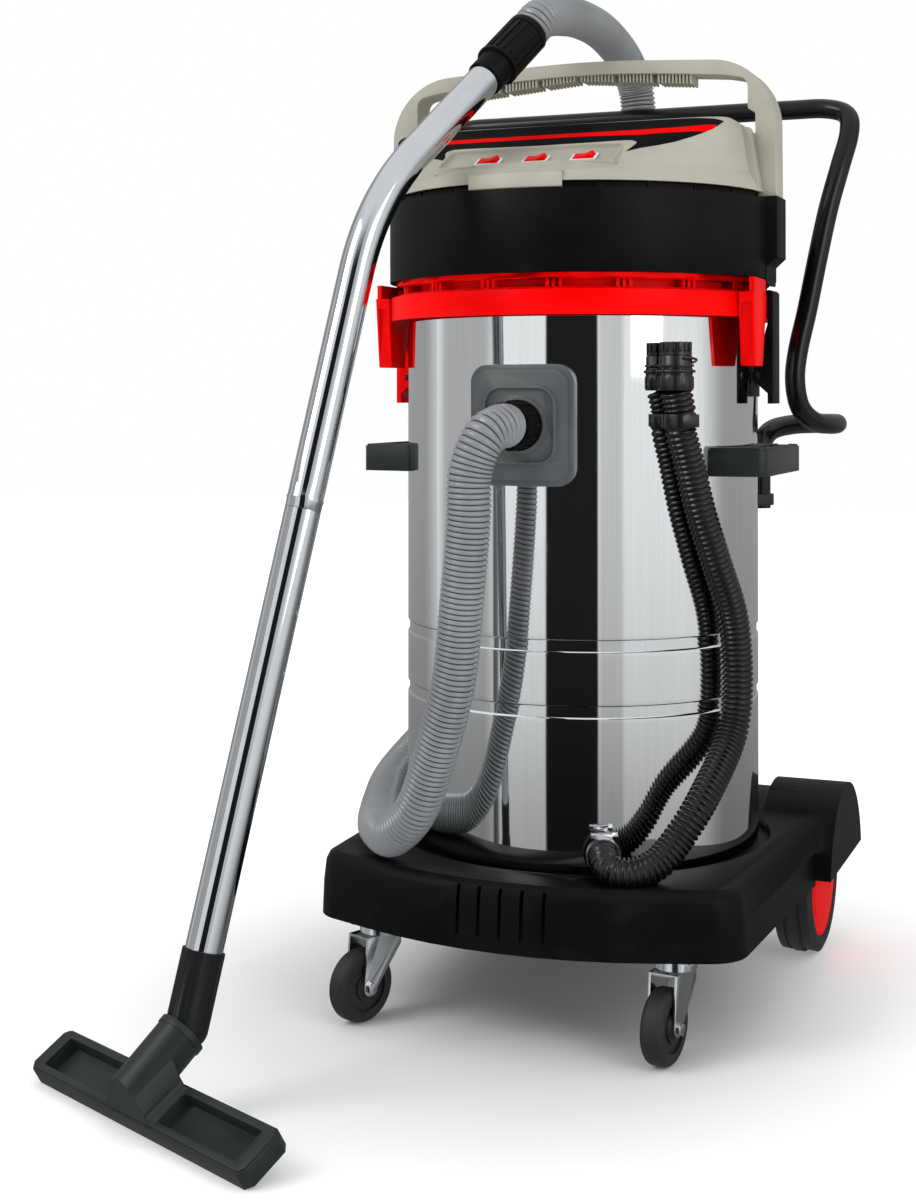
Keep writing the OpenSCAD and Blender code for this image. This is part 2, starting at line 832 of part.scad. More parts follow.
// Right half of the push handle's centre line, from the post to the middle of the crossbar
push_half = [
  [post_x, post_y, post_z], [post_x, post_y, post_top - 14], [post_x, post_y, post_top], [186, 156, 642], [194, 178, 657], [212, 215, 663],
  [232, 252, 664], [250, 264, 664], [263, 248, 664], [259, 212, 664], [247, 174, 668],
  [234, 154, 686], [229, 148, 719], [232, 152, 756], [241, 164, 806], [251, 178, 869],
  [262, 194, 934], [274, 212, 990], [282, 232, 1034], [276, 249, 1060], [248, bar_y, 1071],
  [200, bar_y, bar_z], [100, bar_y, bar_z], [0, bar_y, bar_z]];

module push_handle() {
  n = len(push_half);
  whole = [each push_half, for (i = [n - 2:-1:0]) [-push_half[i].x, push_half[i].y, push_half[i].z]];
  color("black") sweep(path(whole, 2), tube_r, 12, [0, 0, 1], [0, 0, -1]);
}

// Saddles that hold the two posts against the tank
module handle_clamps() {
  angle = atan2(post_y, post_x);
  reach = norm([post_x, post_y]);
  clamp_z = post_z + 4;
  clamp_h = 50;
  color("dimgray") difference() {
    for (s = [-1, 1]) side(s) rotate([0, 0, angle]) translate([0, 0, clamp_z]) {
      translate([tank_r - 4, -26, 0]) cube([10, 52, clamp_h]);
      for (z = [0, clamp_h - 14]) translate([0, 0, z]) {
        translate([tank_r, -tube_r - 4, 0]) cube([reach - tank_r, 2 * tube_r + 8, 14]);
        translate([reach, 0, 0]) cylinder(h = 14, r = tube_r + 4);
      }
    }
    tank_clear(clamp_z - 1, clamp_h + 2);
    for (s = [-1, 1]) translate([s * post_x, post_y, post_z]) cylinder(h = 80, r = tube_r + seat);
  }
}

// ---- Head ----

port_r = 30;
deck_t = 4;
plenum_h = 14;
plenum_r = 197;
motor_z = deck_z + deck_t + plenum_h + deck_t;
ring_in = 206;
ring_out = band_r - 8;
ear_out = handle_w / 2 + 2;
ear_y = 50;
leg_x = band_r + 1;

// Red leg that stands off the tank in front of each latch
module leg(s) {
  side(s) translate([tank_r + 4, 0, 0]) rotate([90, 0, 90]) linear_extrude(leg_x - tank_r - 4)
    polygon([[-94, exhaust_z], [-24, exhaust_z], [-46, exhaust_z - 83], [-84, exhaust_z - 83]]);
}

module head_base() {
  color("red") difference() {
    union() {
      ring(band_r - shell - 0.5, band_r, band_z, band_h);
      translate([0, 0, deck_z]) cylinder(h = deck_t, r = band_r);
      ring(plenum_r + 17, plenum_r + 21, deck_z, exhaust_z - deck_z);
      for (s = [-1, 1]) {
        leg(s);
        side(s) translate([ring_out + 3, -90, exhaust_z - 1]) cube([leg_x - ring_out - 3, 60, exhaust_h - 0.5]);
      }
    }
    cylinder(h = 2 * rim_z, r = port_r);
    for (s = [-1, 1]) side(s) translate([tank_r + 7, -100, exhaust_z - 90])
      cube([leg_x - tank_r - 10, 14, 78]);
  }
}

module exhaust_ring() {
  step = 360 / exhaust_n;
  half_w = ring_out * sin(step / 2);
  color("red") difference() {
    union() {
      ring(ring_in, ring_out, exhaust_z, exhaust_h);
      ring(ring_in, ring_out + 2, exhaust_z + exhaust_h - 5, 5);
    }
    for (i = [0:exhaust_n - 1]) rotate([0, 0, (i + 0.5) * step]) translate([ring_in - 10, 0, exhaust_z + 2.5]) {
      translate([0, 9 - half_w, 0]) cube([60, 2 * (half_w - 9), exhaust_h - 9]);
      for (y = [-1, 1]) translate([0, y * (half_w - 3.5) - 1.5, 0]) cube([60, 3, exhaust_h - 9]);
    }
  }
}

module motor_deck() {
  color("gray") difference() {
    union() {
      ring(plenum_r - 3, plenum_r, deck_z + deck_t, plenum_h + eps);
      translate([0, 0, motor_z - deck_t]) cylinder(h = deck_t, r = plenum_r);
    }
    for (i = [0:2]) motor_axis(i) translate([0, 0, -20]) cylinder(h = 40, r = 24);
  }
}

module motor_housing() {
  crown_r = housing_r - 10;
  color("black") difference() {
    union() {
      ring(housing_r - shell, housing_r, housing_z, housing_h);
      ring(ring_in, housing_r, housing_z, shell);
      ring(crown_r - shell, housing_r, crown_z - shell, shell);
      ring(crown_r - shell, crown_r, crown_z - shell, crown_h + shell);
      for (a = [7:15:359]) rotate([0, 0, a]) translate([crown_r - 1, -1, crown_z - 1]) cube([3 - seat, 2, crown_h]);
      for (s = [-1, 1]) side(s) translate([0, ear_y / 2, 0]) rotate([90, 0, 0]) linear_extrude(ear_y)
        polygon([[housing_r - 16, crown_z + 3], [ear_out, crown_z + 3], [ear_out, housing_z + 25],
          [ear_out - 12, housing_z + 14], [ear_out - 12, housing_z - 7 + eps], [housing_r - 4, housing_z - 7 + eps],
          [housing_r - 4, housing_z + 30], [housing_r - 16, housing_z + 60]]);
    }
    translate([0, 0, housing_z - 10]) cylinder(h = 10 - eps, r = housing_r - 6);
    translate([0, 0, housing_z + shell]) cylinder(h = housing_h - 2 * shell, r = housing_r - shell);
    cylinder(h = 2 * rim_z, r = ring_in);
    translate([0, 0, housing_z + 40]) along_y(0, 300, 8);
    for (s = [-1, 1]) side(s) translate([handle_w / 2 - column_t - 2 - seat, -handle_y / 2 - seat, crown_z + shell])
      cube([60, handle_y + 2 * seat, crown_h + 1]);
  }
}

module power_gland() {
  color("black") translate([0, 0, housing_z + 40]) difference() {
    union() {
      along_y(housing_r - 10, 11, 8 - seat);
      along_y(housing_r + seat, 5, 13);
      translate([0, housing_r + 5, 0]) rotate([-90, 0, 0]) cylinder(h = 14, r1 = 11, r2 = 7);
    }
    along_y(0, 400, 4);
  }
}

// Outline of the cover at one height: half width hx, front yf, back yb and squareness p
function cover_ring(z, hx, yf, yb, p, wall, n = 48) =
  [for (i = [0:n - 1])
    let (a = 360 * i / n, c = cos(a), s = sin(a))
    [(hx - wall) * sign(c) * pow(abs(c), 2 / p),
     (s < 0 ? yf - wall : yb - wall) * sign(s) * pow(abs(s), 2 / p), z]];

panel_foot_y = 208;
panel_foot_z = 17;
panel_at = 20;

module cover_skin(wall) {
  rim = housing_r - 4;
  k = cover_h / 82;
  rise = tan(panel_tilt);
  rows = [
    [0, rim, rim, rim, 2], [12, rim - 4, rim - 4, rim - 4, 2],
    [21 * k, rim - 11, panel_foot_y - (21 * k - panel_foot_z) / rise, rim - 14, 2.2],
    [41 * k, rim - 17, panel_foot_y - (41 * k - panel_foot_z) / rise, rim - 32, 3],
    [69 * k, rim - 22, panel_foot_y - (69 * k - panel_foot_z) / rise, rim - 52, 4.5],
    [79 * k, rim - 30, 92, rim - 62, 5], [82 * k, rim - 44, 76, rim - 76, 5]];
  loft([for (r = rows) cover_ring(cover_z + (wall > 0 && r[0] == 0 ? -1 : r[0] - wall), r[1], r[2], r[3], r[4], wall)]);
}

// Frame on the switch panel: X to the right, Y up the slope and Z out of it
module on_panel() {
  translate([0, panel_at / tan(panel_tilt) - panel_foot_y, cover_z + panel_foot_z + panel_at])
    rotate([panel_tilt, 0, 0]) children();
}

recess_w = 205;
recess_l = 47;
frame_w = 30;
frame_l = 20;
rocker_w = 24;
rocker_l = 14;
rocker_gap = 0.5;
rocker_drop = 1;

module top_cover() {
  tab_w = 110;
  color("tan") difference() {
    union() {
      difference() {
        cover_skin(0);
        cover_skin(shell);
      }
      ring(housing_r - 16, housing_r - 6, cover_z, shell);
      intersection() {
        cover_skin(0);
        on_panel() translate([-7, 0, -panel_sink - shell]) translate([-recess_w / 2 - shell, -recess_l / 2 - shell, 0])
          cube([recess_w + 2 * shell, recess_l + 2 * shell, 60]);
      }
      intersection() {
        ring(housing_r - 8, housing_r - 2, crown_z + seat, 20);
        translate([-tab_w / 2 - 5, -260, crown_z]) cube([tab_w, 100, 22]);
      }
      for (s = [-1, 1], y = [-26, -36]) side(s) translate([0, y, cover_z]) rotate([90, 0, 0]) linear_extrude(3)
        polygon([[190, 2], [housing_r - 9, 2], [housing_r - 9, 12], [housing_r - 26, cover_h - 12], [190, cover_h - 12]]);
    }
    on_panel() translate([-7 - recess_w / 2, -recess_l / 2, -panel_sink]) cube([recess_w, recess_l, 80]);
    on_panel() for (i = [-1:1]) translate([i * switch_pitch, 0, -panel_sink])
      cube([frame_w - 3, frame_l - 3, 40], center = true);
    for (s = [-1, 1]) side(s)
      translate([handle_w / 2 - column_t - 2 - seat, -handle_y / 2 - seat, cover_z - 20])
        cube([60, handle_y + 2 * seat, cover_h + 60]);
    translate([0, 0, cover_z - 30]) cylinder(h = 30 - eps, r = housing_r - 9);
    translate([0, 0, cover_z - 30]) cylinder(h = 30 + shell + 1, r = housing_r - 16);
  }
}

module on_switch(i) {
  on_panel() translate([(i - 2) * switch_pitch, 0, -panel_sink]) children();
}

module switch_frames() {
  open_w = rocker_w + 2 * rocker_gap;
  open_l = rocker_l + 2 * rocker_gap;
  color("white") for (i = [1:3]) on_switch(i) difference() {
    union() {
      translate([0, 0, seat]) linear_extrude(2.2) pad(frame_w, frame_l, 3);
      translate([0, 0, -5.5]) cube([frame_w - 3 - 2 * seat, frame_l - 3 - 2 * seat, 12], center = true);
    }
    cube([open_w, open_l, 60], center = true);
    translate([0, 0, -rocker_drop]) along_y(-30, 60, 1.5 + running);
  }
}

module rocker(i) {
  color("red") on_switch(i) translate([0, 0, -rocker_drop]) rotate([0, -switch_tilt, 0]) union() {
    rotate([90, 0, 0]) translate([0, 0, -rocker_l / 2]) linear_extrude(rocker_l) intersection() {
      circle(r = rocker_w / 2);
      polygon([[-12, -7], [12, -7], [12, 6.5], [0, 4.5], [-12, 6.5]]);
    }
    along_y(-rocker_l / 2 - 1, rocker_l + 2, 1.5);
  }
}

module switch_1() { rocker(1); }
module switch_2() { rocker(2); }
module switch_3() { rocker(3); }

function mirrored(p) = [for (i = [len(p) - 1:-1:0]) [-p[i].x, p[i].y, p[i].z]];

// Carry handle seen from the front, with a corner radius at each point; finger ribs run along its underside
function carry_outline() =
  let (w = handle_w / 2, in = w - column_t - 2, top = handle_rise, rib = 2, rib_drop = 3.5, pitch = 4.6, group = 62,
       outer = [[in, 0, 0.5], [w, 0, 0.5], [w, top - 62, 40], [w - 5, top - 49, 20], [w - 46, top - 13, 60],
         [w - 78, top - 8, 90]],
       inner = [[w - 61, top - 28, 30], [w - 33, top - 34, 12], [w - 33, top - 69, 4], [in, top - 74, 4]],
       whole = rounded([each outer, [0, top, 90], each mirrored(outer), each mirrored(inner), each inner], 5),
       half = 6 * (2 * len(outer) + 1 + len(inner)),
       slope = (28 - grip_t) / (w - 61),
       ribs = [for (g = [-1.5:1:1.5], i = [-5:5])
         let (x = g * group + i * pitch, y = top - grip_t - abs(x) * slope)
         each [[x - rib / 2, y], [x - rib / 2, y - rib_drop], [x + rib / 2, y - rib_drop], [x + rib / 2, y]]])
  [for (i = [0:half - 1]) whole[i], each ribs, for (i = [half:len(whole) - 1]) whole[i]];

module carry_handle() {
  color("tan") translate([0, handle_y / 2, crown_z + 3 + seat]) rotate([90, 0, 0])
    linear_extrude(handle_y) polygon(carry_outline());
}

// ---- Motors and float ----

fan_cavity = 6;
bearing_t = 4;
impeller_r = fan_d / 2 - 8;
shaft_r = shaft_d / 2;

module motor_axis(i) {
  rotate([0, 0, 90 + 120 * i]) translate([motor_place, 0, motor_z]) children();
}

module motor(i) {
  bore = shaft_r + running;
  top = fan_h + motor_h;
  color("gray") motor_axis(i) difference() {
    rotate_extrude() difference() {
      union() {
        square([fan_d / 2, fan_h]);
        translate([0, fan_h - 1]) square([motor_d / 2, motor_h + 1]);
        translate([0, top - 1]) square([shaft_r + 8, 9]);
      }
      translate([-1, -1]) square([25, 5]);
      translate([-1, 3]) square([fan_d / 2 - 2, fan_h - 3 - bearing_t]);
      translate([-1, fan_h]) square([motor_d / 2 - 2, motor_h - bearing_t]);
      translate([-1, -1]) square([bore + 1, top + 20]);
    }
    for (a = [0:60:359]) rotate([0, 0, a]) translate([fan_d / 2 - 10, -12, 10]) cube([20, 24, fan_h - 24]);
  }
}

module rotor(i) {
  color("silver") motor_axis(i) rotate_extrude() union() {
    translate([0, 8]) square([shaft_r, fan_h + motor_h + 2]);
    translate([0, 12]) square([impeller_r, 2]);
    translate([0, 26]) square([impeller_r, 2]);
    translate([0, 12]) square([14, 16]);
    translate([0, fan_h + 14]) square([24, motor_h - 34]);
  }
}

module motor_1() { motor(0); }
module motor_2() { motor(1); }
module motor_3() { motor(2); }
module rotor_1() { rotor(0); }
module rotor_2() { rotor(1); }
module rotor_3() { rotor(2); }

float_r = 36;
cage_in = 55;
float_top = deck_z - sqrt(float_r * float_r - port_r * port_r) - 0.5;
float_z = float_top - float_travel;
cage_z = float_z - float_r - seat - 3;

module float_cage() {
  h = deck_z - cage_z;
  color("black") difference() {
    union() {
      ring(cage_in, cage_in + 3, cage_z, h);
      ring(port_r + 1, cage_in + 10, deck_z - 3, 3);
      ring(12, cage_in + 3, cage_z, 3);
      for (a = [0:90:359]) rotate([0, 0, a + 45])
        translate([float_r + seat, -1.5, cage_z]) cube([cage_in - float_r, 3, h]);
    }
    translate([0, 0, float_top]) sphere(r = float_r + seat);
    for (a = [0:45:359]) rotate([0, 0, a]) translate([cage_in - 4, -13, cage_z + 10]) cube([20, 26, h - 26]);
  }
}

module float_ball() {
  color("orange") translate([0, 0, float_z]) sphere(r = float_r);
}

// ---- Wand and floor tool ----

// The wand leans in one upright plane through this point of the floor
wand_x = -243.7;
wand_y = -573.5;
wand_turn = 65.6;
wand_foot = 56;
wand_foot_z = 156;
wand_tilt = 16.15;
wand_r = wand_d / 2;
sleeve_l = 40;
cuff_l = 94;
elbow_r = wand_r + 2.5;

// Upright plane of the wand: X runs away from the viewer, Z up
module wand_plane() {
  translate([wand_x, wand_y, 0]) rotate([0, 0, wand_turn]) children();
}

// Frame along the wand's lower line, from the elbow's mouth
module on_wand() {
  wand_plane() translate([wand_foot, 0, wand_foot_z]) rotate([0, wand_tilt, 0]) children();
}

module on_tip() {
  on_wand() translate([wand_bend_r * (1 - cos(wand_bend)), 0, wand_lower_l + wand_upper_l + wand_bend_r * sin(wand_bend)])
    rotate([0, wand_bend, 0]) children();
}

module bend_section(r) {
  on_wand() translate([wand_bend_r, 0, wand_lower_l + wand_upper_l]) mirror([1, 0, 0]) rotate([90, 0, 0])
    rotate_extrude(angle = wand_bend) translate([wand_bend_r, 0]) difference() {
      circle(r = r);
      circle(r = r - wand_wall);
    }
}

module pipe(z, h, r_out, r_in) {
  translate([0, 0, z]) difference() {
    cylinder(h = h, r = r_out);
    translate([0, 0, -1]) cylinder(h = h + 2, r = r_in);
  }
}

module wand_lower() {
  color("silver") on_wand() union() {
    pipe(-36, 36 + wand_lower_l - seat, wand_r, wand_r - wand_wall);
    pipe(wand_lower_l - 10, 10 + sleeve_l, wand_r - wand_wall - 0.2, wand_r - 2 * wand_wall);
    pipe(wand_lower_l - 10, 10 - seat, wand_r - eps, wand_r - 2 * wand_wall);
  }
}

// Where the bend meets a straight part
module weld() {
  pipe(-3, 6, wand_r + running, wand_r - wand_wall - running);
}

module wand_upper() {
  color("silver") union() {
    on_wand() pipe(wand_lower_l, wand_upper_l - 1, wand_r, wand_r - wand_wall);
    on_wand() translate([0, 0, wand_lower_l + wand_upper_l]) weld();
    bend_section(wand_r);
    on_tip() weld();
    on_tip() pipe(1, wand_tip_l + 29, wand_r, wand_r - wand_wall);
  }
}

module hose_cuff() {
  color("black") on_tip() translate([0, 0, wand_tip_l]) difference() {
    union() {
      cylinder(h = 30, r = wand_r + 2.5);
      translate([0, 0, 26]) cylinder(h = cuff_l - 26, r = hose_d / 2);
      translate([0, 0, 26]) cylinder(h = 4, r = hose_d / 2 + 2);
      for (a = [0:22.5:359]) rotate([0, 0, a]) translate([0, -1.4, 34]) cube([hose_d / 2 + 1.4, 2.8, cuff_l - 44]);
      translate([0, 0, cuff_l - 8]) cylinder(h = 8, r = hose_d / 2 + 1.4);
    }
    translate([0, 0, -1]) cylinder(h = 31 + seat, r = wand_r + seat);
    cylinder(h = 200, r = wand_r - 3);
  }
}

// Side view of the floor tool: it stands on its front lower edge, tilted back
tool_edge = -23.3;
tool_tilt = 30.4;
neck_tilt = 6.8;
neck_u = 88.3;
neck_w = 43.2;
neck_r = 24;
joint_l = 22;

module on_tool() {
  wand_plane() translate([tool_edge, 0, 0.2]) rotate([0, -tool_tilt, 0]) children();
}

// Frame of the neck: the origin is the middle of its rim, and Z points out of it
module on_neck() {
  on_tool() translate([neck_u, 0, neck_w]) rotate([0, 90 - neck_tilt, 0]) children();
}

module tool_elbow() {
  hub = -73.5;
  rise = 5.7;
  stem = neck_r - 4;
  bore = wand_r - 2;
  color("black") difference() {
    union() {
      difference() {
        union() {
          on_wand() translate([0, 0, hub]) cylinder(h = -hub, r = elbow_r);
          on_wand() translate([0, 0, hub]) sphere(r = elbow_r);
        }
        on_neck() translate([0, 0, seat - 100]) cylinder(h = 100, r = 60);
      }
      on_neck() translate([0, 0, -joint_l]) cylinder(h = joint_l + rise, r = stem - 2 * running);
      on_neck() translate([0, 0, seat]) cylinder(h = rise - seat, r = elbow_r);
    }
    on_wand() translate([0, 0, -36 - seat]) cylinder(h = 60, r = wand_r + seat);
    on_wand() translate([0, 0, hub]) cylinder(h = 60, r = bore);
    on_wand() translate([0, 0, hub]) sphere(r = bore);
    on_neck() translate([0, 0, -joint_l - 1]) cylinder(h = joint_l + rise + 1, r = bore);
  }
}

module floor_tool() {
  end = 7;
  rim = 9;
  floor_t = 6;
  outline = [[0, end - tool_l / 2], [end, -tool_l / 2], [tool_depth - end, -tool_l / 2],
    [tool_depth, end - tool_l / 2], [tool_depth, tool_l / 2 - end], [tool_depth - end, tool_l / 2],
    [end, tool_l / 2], [0, tool_l / 2 - end]];
  pocket_in = neck_r + 16;
  pocket_l = tool_l / 2 - pocket_in - 2 * rim;
  color("dimgray") difference() {
    union() {
      on_tool() linear_extrude(tool_h - 2) polygon(outline);
      on_tool() linear_extrude(tool_h) polygon(inset(outline, 2));
      on_neck() translate([0, 0, 10 - neck_u]) cylinder(h = neck_u - 10, r = neck_r);
      on_neck() translate([0, 0, -7]) cylinder(h = 7, r = neck_r + 1.2);
      on_tool() translate([4, -neck_r - 5, tool_h / 2]) cube([tool_depth - 8, 2 * neck_r + 10, tool_h / 2 + 8]);
      on_tool() translate([tool_depth - 14, tool_l / 2 - 10, 1]) rotate([90, 0, 0]) cylinder(h = tool_l - 20, r = 6);
    }
    on_tool() translate([-6, -60, tool_h]) rotate([0, 18, 0]) translate([-60, 0, 0]) cube([64, 120, 90]);
    on_tool() for (s = [-1, 1]) translate([tool_depth / 2, s * (pocket_in + pocket_l / 2), floor_t])
      linear_extrude(60) pad(tool_depth - 2 * rim, pocket_l, 3);
    on_tool() translate([rim + 3, rim - tool_l / 2, -10]) cube([14, tool_l - 2 * rim, 13]);
    on_neck() translate([0, 0, -joint_l - seat]) cylinder(h = joint_l + 20, r = neck_r - 4 - running);
    on_neck() translate([0, 0, 26 - neck_u]) cylinder(h = neck_u - 20, r = wand_r - 3);
    on_tool() translate([rim + 3, -14, -10]) cube([20, 28, neck_w]);
  }
}

// ---- Hoses: points chosen along each route, in the tank's frame ----

suction_route = [
  [0, -262.3, 668], [-2, -282, 667], [-12, -302, 655], [-24, -308, 620], [-27, -306, 566],
  [-37, -300, 480], [-50, -292, 392], [-78, -280, 306], [-104, -268, 248], [-140, -246, 214],
  [-172, -207, 207], [-194, -168, 207], [-217, -106, 213], [-237, -30, 227], [-235, 50, 253],
  [-207, 125, 300], [-162, 192, 370], [-112, 237, 450], [-66, 266, 560], [-36, 284, 680],
  [-21, 295, 800], [-16, 301, 920], [-15, 302, 1020], [-16, 301, 1091], [-19, 290, 1128],
  [-21, 245, 1155], [-18, 150, 1168], [-16, 60, 1167], [-17, -20, 1158], [-22, -85, 1143],
  [-31.5, -105.5, 1123]];

drain_route = [
  [88.9, -201.5, 203], [95, -215.4, 203], [104, -231, 196], [118, -233, 192.5], [137, -225, 194],
  [155, -210, 204], [170, -192, 225], [190, -166, 263], [206, -105, 318], [212, -93, 372],
  [209, -99, 450], [195, -124, 518], [182, -142, 575], [172, -154, 630], [165.1, -160.9, 663], [164.9, -161.1, 683],
  [161.2, -165.4, 705.7]];

module suction_hose() {
  color("gainsboro") sweep(path(suction_route, 2), hose_d / 2, 10, [0, -1, 0], [-0.309, -0.682, -0.663]);
}

module drain_hose() {
  color("black") sweep(path(drain_route, 1), drain_hose_d / 2, 10, [0.404, -0.915, 0], [0, 0, 1]);
}

place() tank();
place() tank_gasket();
place() filter_bag();
place() base();
place() inlet_plate();
place() inlet_cuff();
place() drain_outlet();
place() drain_clamp();
place() drain_cuff();
place() drain_cap();
place() drain_clip();
place() tool_holder_left();
place() tool_holder_right();
place() latch_bracket_left();
place() latch_bracket_right();
place() latch_pin_left();
place() latch_pin_right();
place() latch_left();
place() latch_right();
place() push_handle();
place() handle_clamps();
place() wheel_axle();
place() wheel_left();
place() wheel_right();
place() hub_left();
place() hub_right();
place() caster_plate_left();
place() caster_plate_right();
place() caster_fork_left();
place() caster_fork_right();
place() caster_bolt_left();
place() caster_bolt_right();
place() caster_wheel_left();
place() caster_wheel_right();
place() head_base();
place() exhaust_ring();
place() motor_deck();
place() motor_housing();
place() top_cover();
place() carry_handle();
place() switch_frames();
place() switch_1();
place() switch_2();
place() switch_3();
place() motor_1();
place() motor_2();
place() motor_3();
place() rotor_1();
place() rotor_2();
place() rotor_3();
place() float_cage();
place() float_ball();
place() power_gland();
place() wand_lower();
place() wand_upper();
place() hose_cuff();
place() tool_elbow();
place() floor_tool();
place() suction_hose();
place() drain_hose();
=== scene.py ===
import json
import math
import bmesh
import bpy
from mathutils import Matrix, Vector

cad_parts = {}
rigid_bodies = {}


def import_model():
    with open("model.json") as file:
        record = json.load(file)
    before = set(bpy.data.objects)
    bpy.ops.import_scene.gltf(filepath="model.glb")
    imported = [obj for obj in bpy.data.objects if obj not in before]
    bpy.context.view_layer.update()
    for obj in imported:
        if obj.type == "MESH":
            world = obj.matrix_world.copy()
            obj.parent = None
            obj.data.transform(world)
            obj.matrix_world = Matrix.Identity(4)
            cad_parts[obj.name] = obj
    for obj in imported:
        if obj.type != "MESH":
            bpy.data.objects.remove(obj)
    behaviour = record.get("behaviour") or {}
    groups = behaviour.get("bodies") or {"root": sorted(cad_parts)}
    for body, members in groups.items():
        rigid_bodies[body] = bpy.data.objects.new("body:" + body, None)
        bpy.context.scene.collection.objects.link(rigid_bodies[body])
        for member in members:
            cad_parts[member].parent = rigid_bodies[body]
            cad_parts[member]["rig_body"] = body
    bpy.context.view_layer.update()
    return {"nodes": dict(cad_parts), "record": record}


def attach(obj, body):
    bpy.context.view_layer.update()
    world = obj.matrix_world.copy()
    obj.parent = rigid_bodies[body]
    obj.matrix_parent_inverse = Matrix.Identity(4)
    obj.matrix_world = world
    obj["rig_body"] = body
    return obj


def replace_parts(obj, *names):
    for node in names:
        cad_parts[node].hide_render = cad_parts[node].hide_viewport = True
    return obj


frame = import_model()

# Shapes are given in millimetres in the tank's own frame: its axis is Z and the inlet faces -Y.
TANK_AT = (61.5, 175.7, 0.0)


def at(x, y, z):
    """A point of the tank's frame as a scene point in metres."""
    return Vector((x + TANK_AT[0], y + TANK_AT[1], z)) / 1000


def turn(axis, degrees):
    return Matrix.Rotation(math.radians(degrees), 4, axis)


def shift(x, y, z):
    return Matrix.Translation((x, y, z))


# From the tank's frame to the scene
WORLD = Matrix.Scale(0.001, 4) @ shift(*TANK_AT)

# ---- Camera and lamps ----

FRAME_ROWS = 1200
FOCAL_ROWS = 1796.6
AXIS_ROW = 372.46
SENSOR = 36
CAMERA_AT = (671.7, -2073.2, 703.5)
CAMERA_PITCH = 0.65


def make_camera():
    """Upright camera at the tank's height; its shift puts the object in the middle."""
    data = bpy.data.cameras.new("main_camera")
    data.sensor_fit = "VERTICAL"
    data.sensor_height = SENSOR
    data.lens = SENSOR * FOCAL_ROWS / FRAME_ROWS
    data.shift_y = (AXIS_ROW - FRAME_ROWS / 2) / FRAME_ROWS
    data.clip_start = 0.05
    data.clip_end = 50
    camera = bpy.data.objects.new("main_camera", data)
    bpy.context.scene.collection.objects.link(camera)
    level = Vector((-0.373, 0.928, 0)).normalized()
    pitch = math.radians(CAMERA_PITCH)
    forward = level * math.cos(pitch) + Vector((0, 0, math.sin(pitch)))
    aim = forward.to_track_quat("-Z", "Y").to_matrix().to_4x4()
    camera.matrix_world = Matrix.Translation(at(*CAMERA_AT)) @ aim
    bpy.context.scene.camera = camera


def area_lamp(name, place, aim, size, power):
    data = bpy.data.lights.new(name, "AREA")
    data.shape = "RECTANGLE"
    data.size, data.size_y = size
    data.energy = power
    lamp = bpy.data.objects.new(name, data)
    lamp.location = place
    lamp.rotation_euler = (Vector(aim) - Vector(place)).to_track_quat("-Z", "Y").to_euler()
    bpy.context.scene.collection.objects.link(lamp)


make_camera()

# ---- Finishes ----


class Field:
    """A value or vector in a material; arithmetic on it adds nodes."""

    def __init__(self, tree, socket):
        self.tree, self.socket = tree, socket

    def node(self, kind, inputs, output=0, **settings):
        node = self.tree.nodes.new(kind)
        for key, value in settings.items():
            setattr(node, key, value)
        for key, value in inputs.items():
            if isinstance(value, Field):
                self.tree.links.new(value.socket, node.inputs[key])
            else:
                node.inputs[key].default_value = value
        return Field(self.tree, node.outputs[output])

    def math(self, operation, *values):
        return self.node("ShaderNodeMath", dict(enumerate(values)), operation=operation)

    def __add__(self, other):
        return self.math("ADD", self, other)

    def __radd__(self, other):
        return self.math("ADD", other, self)

    def __sub__(self, other):
        return self.math("SUBTRACT", self, other)

    def __rsub__(self, other):
        return self.math("SUBTRACT", other, self)

    def __mul__(self, other):
        return self.math("MULTIPLY", self, other)

    def __rmul__(self, other):
        return self.math("MULTIPLY", other, self)

    def size(self):
        return self.math("ABSOLUTE", self)

    def step(self, low, high):
        """0 below low, 1 above high, smooth between them."""
        inputs = {"Value": self, "From Min": low, "From Max": high, "To Min": 0.0, "To Max": 1.0}
        return self.node("ShaderNodeMapRange", inputs, interpolation_type="SMOOTHSTEP")

    def scaled(self, x, y, z):
        return self.node("ShaderNodeVectorMath", {0: self, 1: (x, y, z)}, operation="MULTIPLY")

    def axis(self, i):
        return self.node("ShaderNodeSeparateXYZ", {0: self}, output=i)

    def noise(self, scale, detail=3.0, rough=0.5):
        inputs = {"Vector": self, "Scale": scale, "Detail": detail, "Roughness": rough}
        return self.node("ShaderNodeTexNoise", inputs)

    def cells(self, scale):
        return self.node("ShaderNodeTexVoronoi", {"Vector": self, "Scale": scale})

    def blend(self, a, b):
        """Colour a where this is 0 and colour b where it is 1."""
        a, b = (tuple(c) + (1,) if isinstance(c, tuple) else c for c in (a, b))
        return self.node("ShaderNodeMix", {0: self, 6: a, 7: b}, output=2, data_type="RGBA")

    def bump(self, height, distance, strength=1.0, below=None):
        inputs = {"Height": height, "Distance": distance, "Strength": strength}
        if below is not None:
            inputs["Normal"] = below
        return self.node("ShaderNodeBump", inputs)


LOOKS = {}


def material(name, build, **fixed):
    """build gets the surface's own coordinates and returns what varies on the shader."""
    made = bpy.data.materials.new(name)
    made.use_nodes = True
    tree = made.node_tree
    shader = tree.nodes["Principled BSDF"]
    for key, value in fixed.items():
        shader.inputs[key.replace("_", " ")].default_value = value
    where = tree.nodes.new("ShaderNodeTexCoord").outputs["Object"]
    for key, value in build(Field(tree, where)).items():
        tree.links.new(value.socket, shader.inputs[key.replace("_", " ")])
    LOOKS[name] = made
    return made


